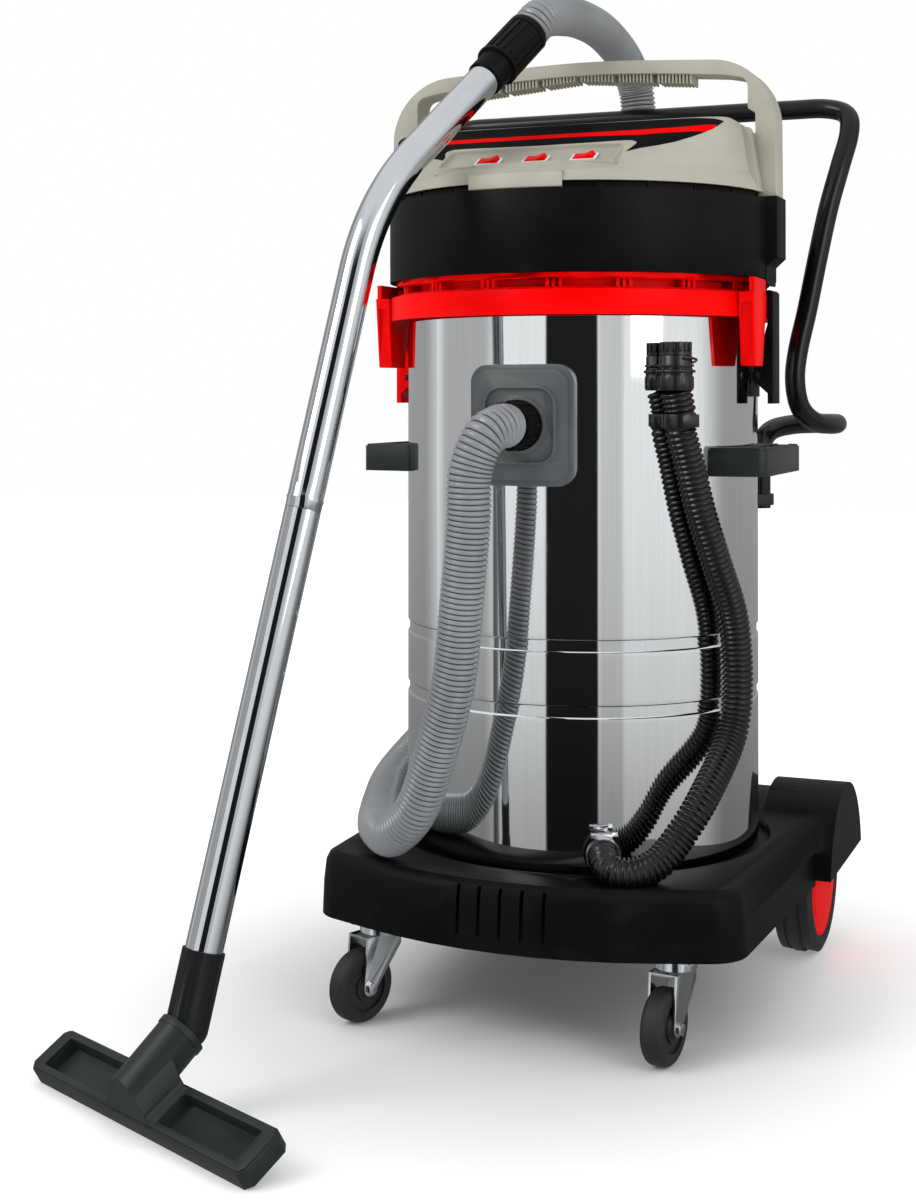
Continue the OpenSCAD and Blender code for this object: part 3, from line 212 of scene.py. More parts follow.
def moulded(low, high, rough, grain=900.0, depth=0.00006, dusty=0.03):
    """Moulded plastic: fine texture, cloudy sheen and a little dust."""

    def build(p):
        cloud = p.noise(9.0, 4.0, 0.6)
        dust = p.noise(26.0, 5.0, 0.7).step(0.5, 0.8)
        colour = cloud.step(0.35, 0.7).blend(low, high)
        return {
            "Base_Color": (dust * dusty).blend(colour, (0.42, 0.40, 0.36)),
            "Roughness": cloud * 0.1 + dust * 0.06 + rough,
            "Normal": p.bump(p.cells(grain), depth, 0.4),
        }

    return build


def shiny(low, high, rough, scratch=0.05, worn=0.02):
    """Smooth surface with faint handling marks."""

    def build(p):
        cloud = p.noise(7.0, 4.0, 0.55)
        marks = p.scaled(1.0, 1.0, 0.12).noise(160.0, 4.0, 0.7).step(0.56, 0.78)
        colour = cloud.step(0.3, 0.7).blend(low, high)
        return {
            "Base_Color": (marks * worn).blend(colour, (0.5, 0.5, 0.5)),
            "Roughness": marks * scratch + cloud * 0.06 + rough,
            "Normal": p.bump(p.noise(30.0, 2.0), 0.0002, 0.08),
        }

    return build


def plated(base, rough, dull=0.9, bloomy=0.06):
    """Plated metal with small blooms of dullness."""

    def build(p):
        bloom = p.noise(34.0, 5.0, 0.6).step(0.42, 0.78)
        return {
            "Base_Color": bloom.blend(base, tuple(c * dull for c in base)),
            "Roughness": bloom * bloomy + rough,
            "Normal": p.bump(p.noise(240.0, 3.0), 0.00004, 0.15),
        }

    return build


def rolled_steel(p):
    """Polished sheet: faint upright rolling lines, slow ripples, a few smears, a seam behind."""
    lines = p.scaled(300.0, 300.0, 5.0).noise(1.0, 3.0, 0.6)
    ripple = p.scaled(6.0, 6.0, 1.6).noise(1.0, 2.0)
    smear = p.noise(11.0, 5.0, 0.65).step(0.5, 0.85)
    across = (p.axis(0) - TANK_AT[0] / 1000).size()
    seam = (1 - across.step(0.0008, 0.0022)) * p.axis(1).step(0.30, 0.31)
    colour = lines.step(0.2, 0.8).blend((0.74, 0.75, 0.755), (0.80, 0.81, 0.815))
    return {
        "Base_Color": (smear * 0.12 + seam * 0.3).blend(colour, (0.56, 0.56, 0.55)),
        "Roughness": smear * 0.05 + lines * 0.03 + seam * 0.2 + 0.025,
        "Normal": p.bump(seam, 0.0004, 0.6, p.bump(ripple, 0.0035, 0.16)),
    }


def rubbery(p):
    dust = p.noise(38.0, 5.0, 0.7).step(0.45, 0.8)
    return {
        "Base_Color": (dust * 0.3).blend((0.010, 0.010, 0.011), (0.07, 0.068, 0.062)),
        "Roughness": dust * 0.2 + 0.62,
        "Normal": p.bump(p.cells(700.0), 0.0001, 0.5),
    }


def felt(p):
    fibre = p.scaled(1.0, 1.0, 0.3).noise(420.0, 5.0, 0.75)
    return {
        "Base_Color": fibre.blend((0.60, 0.57, 0.50), (0.86, 0.84, 0.78)),
        "Roughness": fibre * 0.1 + 0.85,
        "Normal": p.bump(fibre, 0.0005, 0.8),
    }


def make_finishes():
    material("stainless", rolled_steel, Metallic=1.0)
    material("rubber", rubbery)
    material("cloth", felt, Sheen_Weight=0.3)
    for name, build in (
        ("chrome", plated((0.60, 0.62, 0.64), 0.06, 0.93, 0.05)),
        ("zinc", plated((0.60, 0.62, 0.63), 0.16, 0.75, 0.14)),
        ("motor_metal", plated((0.5, 0.51, 0.52), 0.3)),
    ):
        material(name, build, Metallic=1.0)
    for name, low, high, rough, dusty, specular in (
        ("black_plastic", (0.0022, 0.0024, 0.0026), (0.0044, 0.0046, 0.005), 0.4, 0.008, 0.09),
        ("grey_plastic", (0.015, 0.018, 0.0185), (0.022, 0.026, 0.027), 0.36, 0.02, 0.25),
        ("inlet_grey", (0.075, 0.081, 0.084), (0.10, 0.107, 0.111), 0.2, 0.01, 0.5),
        ("elbow_black", (0.006, 0.007, 0.0085), (0.009, 0.0105, 0.0125), 0.42, 0.01, 0.2),
    ):
        build = moulded(low, high, rough, dusty=dusty)
        material(name, build, Specular_IOR_Level=specular)
    beige = moulded((0.37, 0.365, 0.30), (0.43, 0.42, 0.35), 0.36, 1100.0, 0.00004, 0.02)
    material("beige_plastic", beige, Specular_IOR_Level=0.25)
    for name, low, high, rough, worn, specular in (
        ("red_plastic", (0.80, 0.0, 0.0), (0.90, 0.0, 0.0), 0.34, 0.0, 0.05),
        ("black_paint", (0.0025, 0.0025, 0.003), (0.005, 0.005, 0.006), 0.16, 0.003, 0.3),
        ("hose_black", (0.003, 0.003, 0.0035), (0.006, 0.006, 0.007), 0.17, 0.0, 0.4),
        # Next: a darker grey for the grey hose's rib valleys, painted shade in the creases
        ("hose_valley_painted_shade", (0.030, 0.032, 0.034), (0.05, 0.052, 0.055), 0.5, 0.02, 0.2),
        ("label_black", (0.004, 0.004, 0.005), (0.008, 0.008, 0.009), 0.6, 0.0, 0.02),
        ("label_red", (0.82, 0.0, 0.0), (0.90, 0.0, 0.0), 0.6, 0.0, 0.02),
        ("fitting_black", (0.0055, 0.006, 0.0065), (0.010, 0.0108, 0.0115), 0.22, 0.0, 0.55),
    ):
        build = shiny(low, high, rough, worn=worn)
        material(name, build, Specular_IOR_Level=specular)
    grey = shiny((0.20, 0.208, 0.215), (0.26, 0.268, 0.275), 0.26)
    material("hose_grey", grey, Coat_Weight=0.15)
    clear = shiny((0.74, 0.75, 0.76), (0.82, 0.83, 0.84), 0.12)
    material("clear_bezel", clear, Coat_Weight=0.5)
    material("float_plastic", shiny((0.75, 0.24, 0.03), (0.82, 0.3, 0.05), 0.3))


make_finishes()
# Each CAD part takes the finish that its slot in the record names
for part in frame["record"]["subparts"]:
    shown = frame["nodes"][part["node"]]
    shown.data.materials.clear()
    shown.data.materials.append(LOOKS[part["material_slot"]])

# ---- Building ----


def as_object(name, mesh):
    """Moves a bmesh into a new object."""
    mesh.normal_update()
    data = bpy.data.meshes.new(name)
    mesh.to_mesh(data)
    mesh.free()
    made = bpy.data.objects.new(name, data)
    bpy.context.scene.collection.objects.link(made)
    return made


def shade(made, degrees):
    """Smooth shading, with edges sharper than this left sharp."""
    made.data.shade_smooth()
    if degrees < 180:
        made.data.set_sharp_from_angle(angle=math.radians(degrees))


def piece(name, mesh, look, body="root", smooth=40, extra=()):
    """Adds a finished mesh to the scene; a face's material_index picks a look of extra."""
    made = as_object(name, mesh)
    for one in (look, *extra):
        made.data.materials.append(LOOKS[one])
    shade(made, smooth)
    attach(made, body)
    return made


def round_edges(mesh, edges, radius, steps, clamp=True):
    bmesh.ops.bevel(mesh, geom=list(edges), offset=radius, offset_type="OFFSET", segments=steps,
                    profile=0.5, affect="EDGES", clamp_overlap=clamp, material=-1)


def sharp_edges(mesh, degrees):
    limit = math.radians(degrees)
    return [e for e in mesh.edges if e.is_manifold and e.calc_face_angle(0.0) > limit]


def joined(part, mesh=None):
    """Moves part's faces into mesh."""
    if mesh is None:
        return part
    data = bpy.data.meshes.new("part")
    part.to_mesh(data)
    part.free()
    mesh.from_mesh(data)
    bpy.data.meshes.remove(data)
    return mesh


def skin(rings, loop=False, caps=True, mesh=None):
    """Loft through rings that hold the same number of points; loop joins the last to the first."""
    mesh = mesh or bmesh.new()
    rows = [[mesh.verts.new(p) for p in ring] for ring in rings]
    n = len(rows[0])
    for a, b in zip(rows, rows[1:] + rows[:1] if loop else rows[1:]):
        for i in range(n):
            j = (i + 1) % n
            mesh.faces.new((a[i], a[j], b[j], b[i]))
    if caps and not loop:
        mesh.faces.new(rows[0][::-1])
        mesh.faces.new(rows[-1])
    return mesh


def lathe(profile, steps, place, mesh=None):
    """Spins (radius, height) points about place's Z; a profile that starts off the axis is a ring."""
    part = bmesh.new()
    points = [part.verts.new((r, 0, z)) for r, z in profile]
    ahead = points[1:] + points[:1] if profile[0][0] > 0 else points[1:]
    edges = [part.edges.new(pair) for pair in zip(points, ahead)]
    bmesh.ops.spin(part, geom=points + edges, cent=(0, 0, 0), axis=(0, 0, 1), angle=2 * math.pi,
                   steps=steps, use_merge=True)
    bmesh.ops.remove_doubles(part, verts=part.verts, dist=1e-4)
    bmesh.ops.transform(part, verts=part.verts, matrix=place)
    bmesh.ops.recalc_face_normals(part, faces=part.faces)
    return joined(part, mesh)


def block(place, size, soft=0.0, steps=3, mesh=None):
    """Cuboid centred on place, with rounded edges."""
    part = bmesh.new()
    bmesh.ops.create_cube(part, size=1.0, matrix=Matrix.Diagonal((*size, 1)))
    if soft:
        round_edges(part, part.edges, soft, steps)
    bmesh.ops.transform(part, verts=part.verts, matrix=place)
    return joined(part, mesh)


def prism(outline, low, high, place, soft=0.0, steps=3, mesh=None):
    """Outline extruded along Z from low to high, with its rims rounded by soft."""
    part = bmesh.new()
    foot = part.faces.new([part.verts.new((x, y, low)) for x, y in outline])
    raised = bmesh.ops.extrude_face_region(part, geom=[foot])["geom"]
    moved = [v for v in raised if isinstance(v, bmesh.types.BMVert)]
    bmesh.ops.translate(part, verts=moved, vec=(0, 0, high - low))
    if soft:
        ends = [foot] + [f for f in raised if isinstance(f, bmesh.types.BMFace)]
        round_edges(part, [e for f in ends for e in f.edges], soft, steps)
    bmesh.ops.transform(part, verts=part.verts, matrix=place)
    bmesh.ops.recalc_face_normals(part, faces=part.faces)
    return joined(part, mesh)


def cut(target, mesh, how="DIFFERENCE"):
    """Boolean of a piece with a loose mesh."""
    tool = as_object("tool_body", mesh)
    step = target.modifiers.new("cut", "BOOLEAN")
    step.operation, step.object, step.solver = how, tool, "EXACT"
    graph = bpy.context.evaluated_depsgraph_get()
    data = bpy.data.meshes.new_from_object(target.evaluated_get(graph))
    target.modifiers.clear()
    old, target.data = target.data, data
    data.name = target.name
    bpy.data.meshes.remove(old)
    bpy.data.objects.remove(tool)


def arc(x, y, radius, start, stop, n):
    """n steps of a circle about (x, y), from start to stop in degrees."""
    angles = [math.radians(start + (stop - start) * i / n) for i in range(n + 1)]
    return [(x + radius * math.cos(a), y + radius * math.sin(a)) for a in angles]


def rounded_profile(points, n=4):
    """Rounds each corner (x, y, radius) of a closed outline."""
    out = []
    count = len(points)
    for i, (x, y, r) in enumerate(points):
        corner = Vector((x, y))
        back = (Vector(points[i - 1][:2]) - corner).normalized()
        ahead = (Vector(points[(i + 1) % count][:2]) - corner).normalized()
        if r <= 0 or (back + ahead).length < 1e-6:
            out.append((x, y))
            continue
        half = math.acos(max(-1.0, min(1.0, back.dot(ahead)))) / 2
        reach = r / math.tan(half)
        centre = corner + (back + ahead).normalized() * r / math.sin(half)
        start, end = corner + back * reach - centre, corner + ahead * reach - centre
        whole = start.angle_signed(end)
        for k in range(n + 1):
            spoke = start.copy()
            spoke.rotate(Matrix.Rotation(-whole * k / n, 2))
            out.append(tuple(centre + spoke))
    return out


def mirrored(points):
    """The same outline on the other side of X = 0, walked the other way."""
    return [(-p[0], *p[1:]) for p in reversed(points)]


# ---- Lines and tubes ----


def frames_along(points):
    """Each point of a line with two directions square to it, which don't twist along the line."""
    out = []
    side = None
    for i, p in enumerate(points):
        ahead = (points[min(i + 1, len(points) - 1)] - points[max(i - 1, 0)]).normalized()
        if side is None:
            side = ahead.orthogonal().normalized()
        side = (side - ahead * side.dot(ahead)).normalized()
        out.append((p, side, ahead.cross(side)))
    return out


def tube_rings(points, radii, sides):
    spokes = [(math.cos(t), math.sin(t)) for t in (2 * math.pi * k / sides for k in range(sides))]
    return [[p + (u * c + v * s) * r for c, s in spokes]
            for (p, u, v), r in zip(frames_along(points), radii)]


def tube(points, radii, sides):
    return skin(tube_rings(points, radii, sides))


def pipe(points, radii, bore, sides=64):
    """A tube with a bore through it."""
    walls = tube_rings(points, radii, sides) + tube_rings(points, [bore] * len(points), sides)[::-1]
    mesh = skin(walls, loop=True)
    bmesh.ops.recalc_face_normals(mesh, faces=mesh.faces)
    return mesh


def spline(points, n):
    """Smooth line through the points, with n steps between two of them."""
    out = []
    last = len(points) - 1
    for i in range(last):
        a, b, c, d = points[max(i - 1, 0)], points[i], points[i + 1], points[min(i + 2, last)]
        for k in range(n):
            t = k / n
            square, cube = 2 * a - 5 * b + 4 * c - d, 3 * b - a - 3 * c + d
            out.append(0.5 * (2 * b + (c - a) * t + square * t * t + cube * t ** 3))
    return out + [points[last]]


def even(points, gap):
    """The same line with points a steady distance apart, and its length."""
    lengths = [0.0]
    for a, b in zip(points, points[1:]):
        lengths.append(lengths[-1] + (b - a).length)
    count = max(2, round(lengths[-1] / gap))
    out, j = [], 0
    for i in range(count + 1):
        want = lengths[-1] * i / count
        while j < len(points) - 2 and lengths[j + 1] < want:
            j += 1
        span = lengths[j + 1] - lengths[j]
        out.append(points[j].lerp(points[j + 1], (want - lengths[j]) / span if span else 0.0))
    return out, lengths[-1]


# ---- Hoses ----

SUCTION = [at(*p) for p in (
    (0, -262.3, 668), (-2, -282, 667), (-12, -302, 655), (-24, -308, 620), (-27, -306, 566),
    (-37, -300, 480), (-50, -292, 392), (-78, -280, 306), (-104, -268, 248), (-140, -246, 214),
    (-172, -207, 207), (-194, -168, 207), (-217, -106, 213), (-237, -30, 227), (-235, 50, 253),
    (-207, 125, 300), (-162, 192, 370), (-112, 237, 450), (-66, 266, 560), (-36, 284, 680),
    (-21, 295, 800), (-16, 301, 920), (-15, 302, 1020), (-16, 301, 1091), (-19, 290, 1128),
    (-21, 245, 1155), (-18, 150, 1168), (-16, 60, 1167), (-17, -20, 1158), (-22, -85, 1143),
    (-31.5, -105.5, 1123))]
DRAIN = [at(*p) for p in (
    (88.9, -201.5, 203), (95, -215.4, 203), (104, -231, 196), (118, -233, 192.5), (137, -225, 194),
    (155, -210, 204), (170, -192, 225), (190, -166, 263), (206, -105, 318), (212, -93, 372),
    (209, -99, 450), (195, -124, 518), (182, -142, 575), (172, -154, 630), (165.1, -160.9, 663),
    (164.9, -161.1, 683), (161.2, -165.4, 705.7))]
# One rib of each hose: share of the pitch, share of the radius
RIB_GREY = ((0.0, 0.905), (0.2, 0.905), (0.36, 0.985), (0.6, 1.0), (0.84, 0.985))
RIB_BLACK = ((0.0, 0.86), (0.2, 0.86), (0.38, 0.98), (0.6, 1.0), (0.82, 0.98))
FINE_STEP, PATH_STEP = 0.001, 0.004


def ribbed(name, route, radius, pitch, rib, sides, look, valley):
    """A ribbed hose whose valley faces take their own look; for the grey hose that is a darker grey,
    painted shade in the creases; also its path and length.
    """
    curve = spline(route, 12)
    line, length = even(curve, FINE_STEP)
    ribs = round(length / pitch)
    points, radii = [], []
    for i in range(ribs):
        for share, part in rib:
            s = (i + share) / ribs * (len(line) - 1)
            j = min(int(s), len(line) - 2)
            points.append(line[j].lerp(line[j + 1], s - j))
            radii.append(radius * part)
    points.append(line[-1])
    radii.append(radius * rib[0][1])
    mesh = tube(points, radii, sides)
    faces = list(mesh.faces)
    deep = 2 * min(part for _, part in rib) + 0.012
    valleys = [k for k, (_, part) in enumerate(rib) if part + rib[(k + 1) % len(rib)][1] < deep]
    for first in (sides * (i * len(rib) + k) for i in range(ribs) for k in valleys):
        for face in faces[first:first + sides]:
            face.material_index = 1
    made = piece(name, mesh, look, smooth=180, extra=(valley,))
    return made, even(curve, PATH_STEP)[0], length


# The grey hose's valleys get a darker grey: painted shade between the ribs
hose, hose_path, hose_length = ribbed(
    "ribbed_suction_hose", SUCTION, 0.024, 0.0058, RIB_GREY, 24, "hose_grey", "hose_valley_painted_shade")
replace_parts(hose, "suction_hose")
drain, drain_path, drain_length = ribbed(
    "ribbed_drain_hose", DRAIN, 0.0175, 0.0062, RIB_BLACK, 28, "hose_black", "rubber")
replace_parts(drain, "drain_hose")

# ---- CAD shapes carried over with smooth shading and soft edges ----


def refined(node, look, soft, sharp=32):
    """A new piece with the node's own shape: curves smooth, sharp edges rounded by soft millimetres."""
    source = frame["nodes"][node]
    mesh = bmesh.new()
    mesh.from_mesh(source.data)
    bmesh.ops.remove_doubles(mesh, verts=mesh.verts, dist=2e-6)
    bmesh.ops.dissolve_limit(mesh, angle_limit=math.radians(0.6), verts=mesh.verts, edges=mesh.edges)
    if soft:
        round_edges(mesh, sharp_edges(mesh, sharp), soft / 1000, 2)
    made = piece(node + "_part", mesh, look, source["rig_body"], smooth=sharp)
    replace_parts(made, node)


for node, look, soft in (
    ("base", "black_plastic", 0.0), ("inlet_plate", "inlet_grey", 2.2),
    ("inlet_cuff", "black_plastic", 0.4), ("drain_outlet", "black_plastic", 0.4),
    ("drain_clamp", "zinc", 0.0), ("drain_cuff", "fitting_black", 0.3),
    ("drain_clip", "fitting_black", 0.5), ("latch_pin_left", "black_paint", 0.3),
    ("latch_pin_right", "black_paint", 0.3), ("tool_holder_left", "grey_plastic", 0.6),
    ("tool_holder_right", "grey_plastic", 0.6), ("latch_bracket_left", "grey_plastic", 0.4),
    ("latch_bracket_right", "grey_plastic", 0.4), ("latch_left", "red_plastic", 0.8),
    ("latch_right", "black_plastic", 0.8), ("handle_clamps", "grey_plastic", 0.8),
    ("caster_plate_left", "zinc", 0.4), ("caster_plate_right", "zinc", 0.4),
    ("caster_fork_left", "zinc", 0.4), ("caster_fork_right", "zinc", 0.4),
    ("caster_bolt_left", "zinc", 0.4), ("caster_bolt_right", "zinc", 0.4),
    ("caster_wheel_left", "rubber", 0.0), ("caster_wheel_right", "rubber", 0.0),
    ("head_base", "red_plastic", 0.5), ("exhaust_ring", "red_plastic", 0.3),
    ("motor_housing", "black_plastic", 0.6), ("switch_frames", "clear_bezel", 0.3),
    ("switch_1", "red_plastic", 0.4), ("switch_2", "red_plastic", 0.4),
    ("switch_3", "red_plastic", 0.4), ("power_gland", "black_plastic", 0.4),
    ("hose_cuff", "black_plastic", 0.4), ("tool_elbow", "elbow_black", 0.3),
    ("floor_tool", "grey_plastic", 0.8),
):
    refined(node, look, soft)

# ---- Tank ----

TANK_R, TANK_BORE, TANK_FOOT, TANK_TOP = 210.0, 208.0, 146.0, 800.0


def tank():
    """Drawn shell with a rounded foot and two rolled grooves."""
    corner, groove_r, groove_half = 22.0, 9.0, 7.48
    outer = [(0.0, TANK_FOOT), (150.0, TANK_FOOT)]
    outer += arc(TANK_R - corner, TANK_FOOT + corner, corner, -90, 0, 9)
    for z in (354.0, 426.0):
        outer += [(TANK_R, z - groove_half - 4), (TANK_R, z - groove_half - 1)]
        outer += arc(TANK_R + 5, z, groove_r, 236, 124, 12)
        outer += [(TANK_R, z + groove_half + 1), (TANK_R, z + groove_half + 4)]
    outer += [(TANK_R, z) for z in (480.0, 560.0, 640.0, 720.0, TANK_TOP - 1)]
    outer.append((TANK_R - 1, TANK_TOP))
    inner = [(TANK_BORE, TANK_TOP - 1), (TANK_BORE, 440.0), (TANK_BORE, 168.0),
             (186.0, 148.0), (0.0, 148.0)]
    made = piece("steel_tank", lathe(outer + inner, 256, WORLD), "stainless", smooth=30)
    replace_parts(made, "tank")


tank()

# ---- Push handle and wand ----

PUSH_HALF = (
    (185, 150, 560), (185, 150, 608), (185, 150, 622), (186, 156, 642), (194, 178, 657), (212, 215, 663),
    (232, 252, 664), (250, 264, 664), (263, 248, 664), (259, 212, 664), (247, 174, 668), (234, 154, 686),
    (229, 148, 719), (232, 152, 756), (241, 164, 806), (251, 178, 869), (262, 194, 934), (274, 212, 990),
    (282, 232, 1034), (276, 249, 1060), (248, 258, 1071), (200, 258, 1072), (100, 258, 1072))
PUSH_TOP = (0, 258, 1072)
PUSH_R = 0.0125


def push_handle():
    """Bent tube: the right half, the middle of the crossbar, and the left half mirrored."""
    route = [at(*p) for p in (*PUSH_HALF, PUSH_TOP, *mirrored(PUSH_HALF))]
    line = even(spline(route, 8), 0.005)[0]
    made = piece("bent_push_handle", tube(line, [PUSH_R] * len(line), 32), "black_paint", smooth=60)
    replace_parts(made, "push_handle")


push_handle()

# The upright plane that the wand and floor tool lie in, with X towards the machine
WAND_PLANE = WORLD @ shift(-243.7, -573.5, 0) @ turn("Z", 65.6)
ON_WAND = WAND_PLANE @ shift(56, 0, 156) @ turn("Y", 16.15)
WAND_R, WAND_BORE = 0.019, 0.0175
TUBE_JOINT, BEND_START = 444.0, 705.0
BEND_R, BEND = 280.0, 32.3


def on_bend(degrees):
    """A point of the upper tube's bend, on the wand."""
    t = math.radians(degrees)
    return BEND_R * (1 - math.cos(t)), 0, BEND_START + BEND_R * math.sin(t)


ON_TIP = ON_WAND @ shift(*on_bend(BEND)) @ turn("Y", BEND)


def wand():
    """Two chromed tubes; the upper one has a rolled bead above the joint."""
    lower = [ON_WAND @ Vector((0, 0, z)) for z in (-36, 0, 100, 200, 300, 400, TUBE_JOINT - 0.3)]
    made = piece("wand_lower_tube", pipe(lower, [WAND_R] * len(lower), WAND_BORE), "chrome", smooth=50)
    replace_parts(made, "wand_lower")
    upper = [ON_WAND @ Vector((0, 0, z)) for z in (TUBE_JOINT, 444.8, 452, 455, 458, 470, 520, 600, 704)]
    upper += [ON_WAND @ Vector(on_bend(BEND * i / 25)) for i in range(1, 25)]
    upper += [ON_TIP @ Vector((0, 0, z)) for z in (0, 40, 90, 144, 174)]
    radii = [WAND_R] * len(upper)
    radii[0], radii[3] = 0.0186, 0.0197
    made = piece("wand_upper_tube", pipe(upper, radii, WAND_BORE), "chrome", smooth=50)
    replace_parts(made, "wand_upper")


wand()

# ---- Rear wheels ----

AXLE_Y, AXLE_Z, WHEEL_INSIDE = 212, 100, 203
# Section of the tyre from its bore: radius, distance from the inside, corner radius
TYRE = (
    (8.06, 0, 0), (20, 0, 1), (24, 4, 1.5), (66, 4, 2), (72, 0, 2), (84, 0, 3),
    (97.5, 4.0, 1.5), (98.5, 14.0, 1.0), (96.2, 14.6, 0.4), (96.2, 17.4, 0.4),
    (100, 19.0, 1.5), (100, 30.0, 1.0), (96.2, 30.6, 0.4), (96.2, 33.4, 0.4),
    (97.5, 35.0, 1.5), (98.5, 46.0, 1.0),
    (90, 50, 5), (84, 50, 1), (82, 47.5, 1), (80.4, 47.5, 0), (80.4, 42, 0), (8.06, 42, 0))
HUB = (
    (0, 47.5), (11, 47.5), (11, 42.2), (79.8, 42.2), (79.8, 46.5), (78.8, 47.6), (73.5, 48.6),
    (72, 47.2), (70, 47.2), (68.5, 49.2), (60, 50.7), (48, 52.2), (36, 53.2), (24, 53.8),
    (22.5, 52.6), (20.5, 52.6), (19, 53.9), (10, 54), (0, 54))


def wheel(side_name, sign):
    place = WORLD @ shift(0, AXLE_Y, AXLE_Z) @ Matrix.Diagonal((sign, 1, 1, 1))
    place = place @ shift(WHEEL_INSIDE, 0, 0) @ turn("Y", 90)
    body = "rear_wheel_" + side_name
    tyre = lathe(rounded_profile(TYRE, 3), 128, place)
    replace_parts(piece("tyre_" + side_name, tyre, "rubber", body, smooth=35), "wheel_" + side_name)
    hub = lathe(HUB, 128, place)
    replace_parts(piece("hub_cover_" + side_name, hub, "red_plastic", body, smooth=28), "hub_" + side_name)


wheel("left", -1)
wheel("right", 1)

# ---- Cover and carry handle ----

COVER_FOOT = 935.0
PANEL_TILT = 28
PANEL_FRONT, PANEL_LOW = 208, 17
RISE = math.tan(math.radians(PANEL_TILT))


def panel_front(z):
    """How far forward the sloped switch panel is at a height above the cover's foot."""
    return PANEL_FRONT - (z - PANEL_LOW) / RISE


# On the panel, at a height of 37 above the cover's foot; Z points out of it
ON_PANEL = PANEL_LOW + 20
PANEL = WORLD @ shift(0, -panel_front(ON_PANEL), COVER_FOOT + ON_PANEL) @ turn("X", PANEL_TILT)


def carry_handle():
    """One moulded bow with rounded edges; groups of finger ribs under the grip."""
    half, top, grip, column = 241.0, 172.0, 13.0, 22.0
    foot_z, depth, inside = 930.3, 40.0, half - column - 2
    outer = [(inside, 0, 0.5), (half, 0, 0.5), (half - 1, top - 14, 78), (half - 90, top - 8.5, 240)]
    inner = [(half - 61, top - 28, 60), (half - 33, top - 34, 12), (half - 33, top - 69, 4),
             (inside, top - 74, 4)]
    crown, palm = [(0, top, 1400)], [(0, top - grip, 1400)]
    whole = outer + crown + mirrored(outer) + mirrored(inner) + palm + inner
    place = WORLD @ shift(0, depth / 2, foot_z) @ turn("X", 90)
    mesh = prism(rounded_profile(whole, 16), 0.0, depth, place, soft=4.5, steps=5)
    for group in range(-3, 3):
        for i in range(-5, 5):
            x = group * 48 + i * 4.3 + 26.2
            z = foot_z + top - grip - abs(x) * 15 / 180 - 4.5
            block(WORLD @ shift(x, 0, z), (2.3, 34.0, 13.0), 0.9, 2, mesh)
    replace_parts(piece("carry_bow", mesh, "beige_plastic", smooth=40), "carry_handle")


carry_handle()

# Levels of the cover: height, half width, front, back, and how square its front and back are
COVER_LEVELS = (
    (0, 228, 228, 228, 2.0, 2.0), (12, 224, 224, 224, 2.0, 2.0),
    (21, 217, panel_front(21), 214, 2.3, 2.05), (41, 212, panel_front(41), 197, 3.1, 2.2),
    (69, 207, panel_front(69), 177, 9.0, 2.6), (77, 205, 96, 170, 12.0, 2.9),
    (80.5, 200, 89, 164, 12.0, 3.0), (82, 192, 80, 156, 12.0, 3.0))


def squareness_over(level):
    return level[:4] + (1 / level[4], 1 / level[5])


def cover_rows():
    """Levels between the given ones; one over the squareness is what changes evenly."""
    levels = [squareness_over(level) for level in COVER_LEVELS]
    rows = []
    for a, b in zip(levels, levels[1:]):
        n = 6 if b[0] < 60 else 5
        rows += [tuple(u + (v - u) * i / n for u, v in zip(a, b)) for i in range(n)]
    return [squareness_over(row) for row in rows + levels[-1:]]


def cover_ring(z, half, front, back, front_square, back_square, wall, n=240):
    """One level of the cover as a superellipse, pulled in by wall."""
    ring = []
    for i in range(n):
        c, s = math.cos(2 * math.pi * i / n), math.sin(2 * math.pi * i / n)
        reach, square = (front, front_square) if s < 0 else (back, back_square)
        x = (half - wall) * math.copysign(abs(c) ** (2 / square), c)
        y = (reach - wall) * math.copysign(abs(s) ** (2 / square), s)
        ring.append(WORLD @ Vector((x, y, COVER_FOOT + z)))
    return ring


def cover_skin(proud):
    """The cover's outside as a solid, grown by proud."""
    return skin([cover_ring(row[0] + proud, *row[1:], -proud) for row in cover_rows()])


def cover_fins(mesh):
    """A pair of gussets beside each foot of the carry bow."""
    fin = rounded_profile([(190, 2, 3), (226, 2, 3), (225, 12, 3), (215, 74, 3), (190, 74, 3)], 3)
    for sign in (-1, 1):
        for y in (-26, -36):
            side = WORLD @ Matrix.Diagonal((sign, 1, 1, 1))
            prism(fin, 0, 3, side @ shift(0, y, COVER_FOOT) @ turn("X", 90), 0.8, 2, mesh)


def front_tab(mesh):
    """Raised tab on the rim, a little left of the middle."""
    section = [(224, 927.4, 0.8), (230, 927.4, 1.5), (230, 944, 1.5), (224, 947, 0.8)]
    section = rounded_profile(section, 3)
    left, right = math.asin(-60 / 230), math.asin(50 / 230)
    rings = []
    for i in range(25):
        t = left + (right - left) * i / 24 - math.pi / 2
        rings.append([WORLD @ Vector((r * math.cos(t), r * math.sin(t), z)) for r, z in section])
    skin(rings, mesh=mesh)


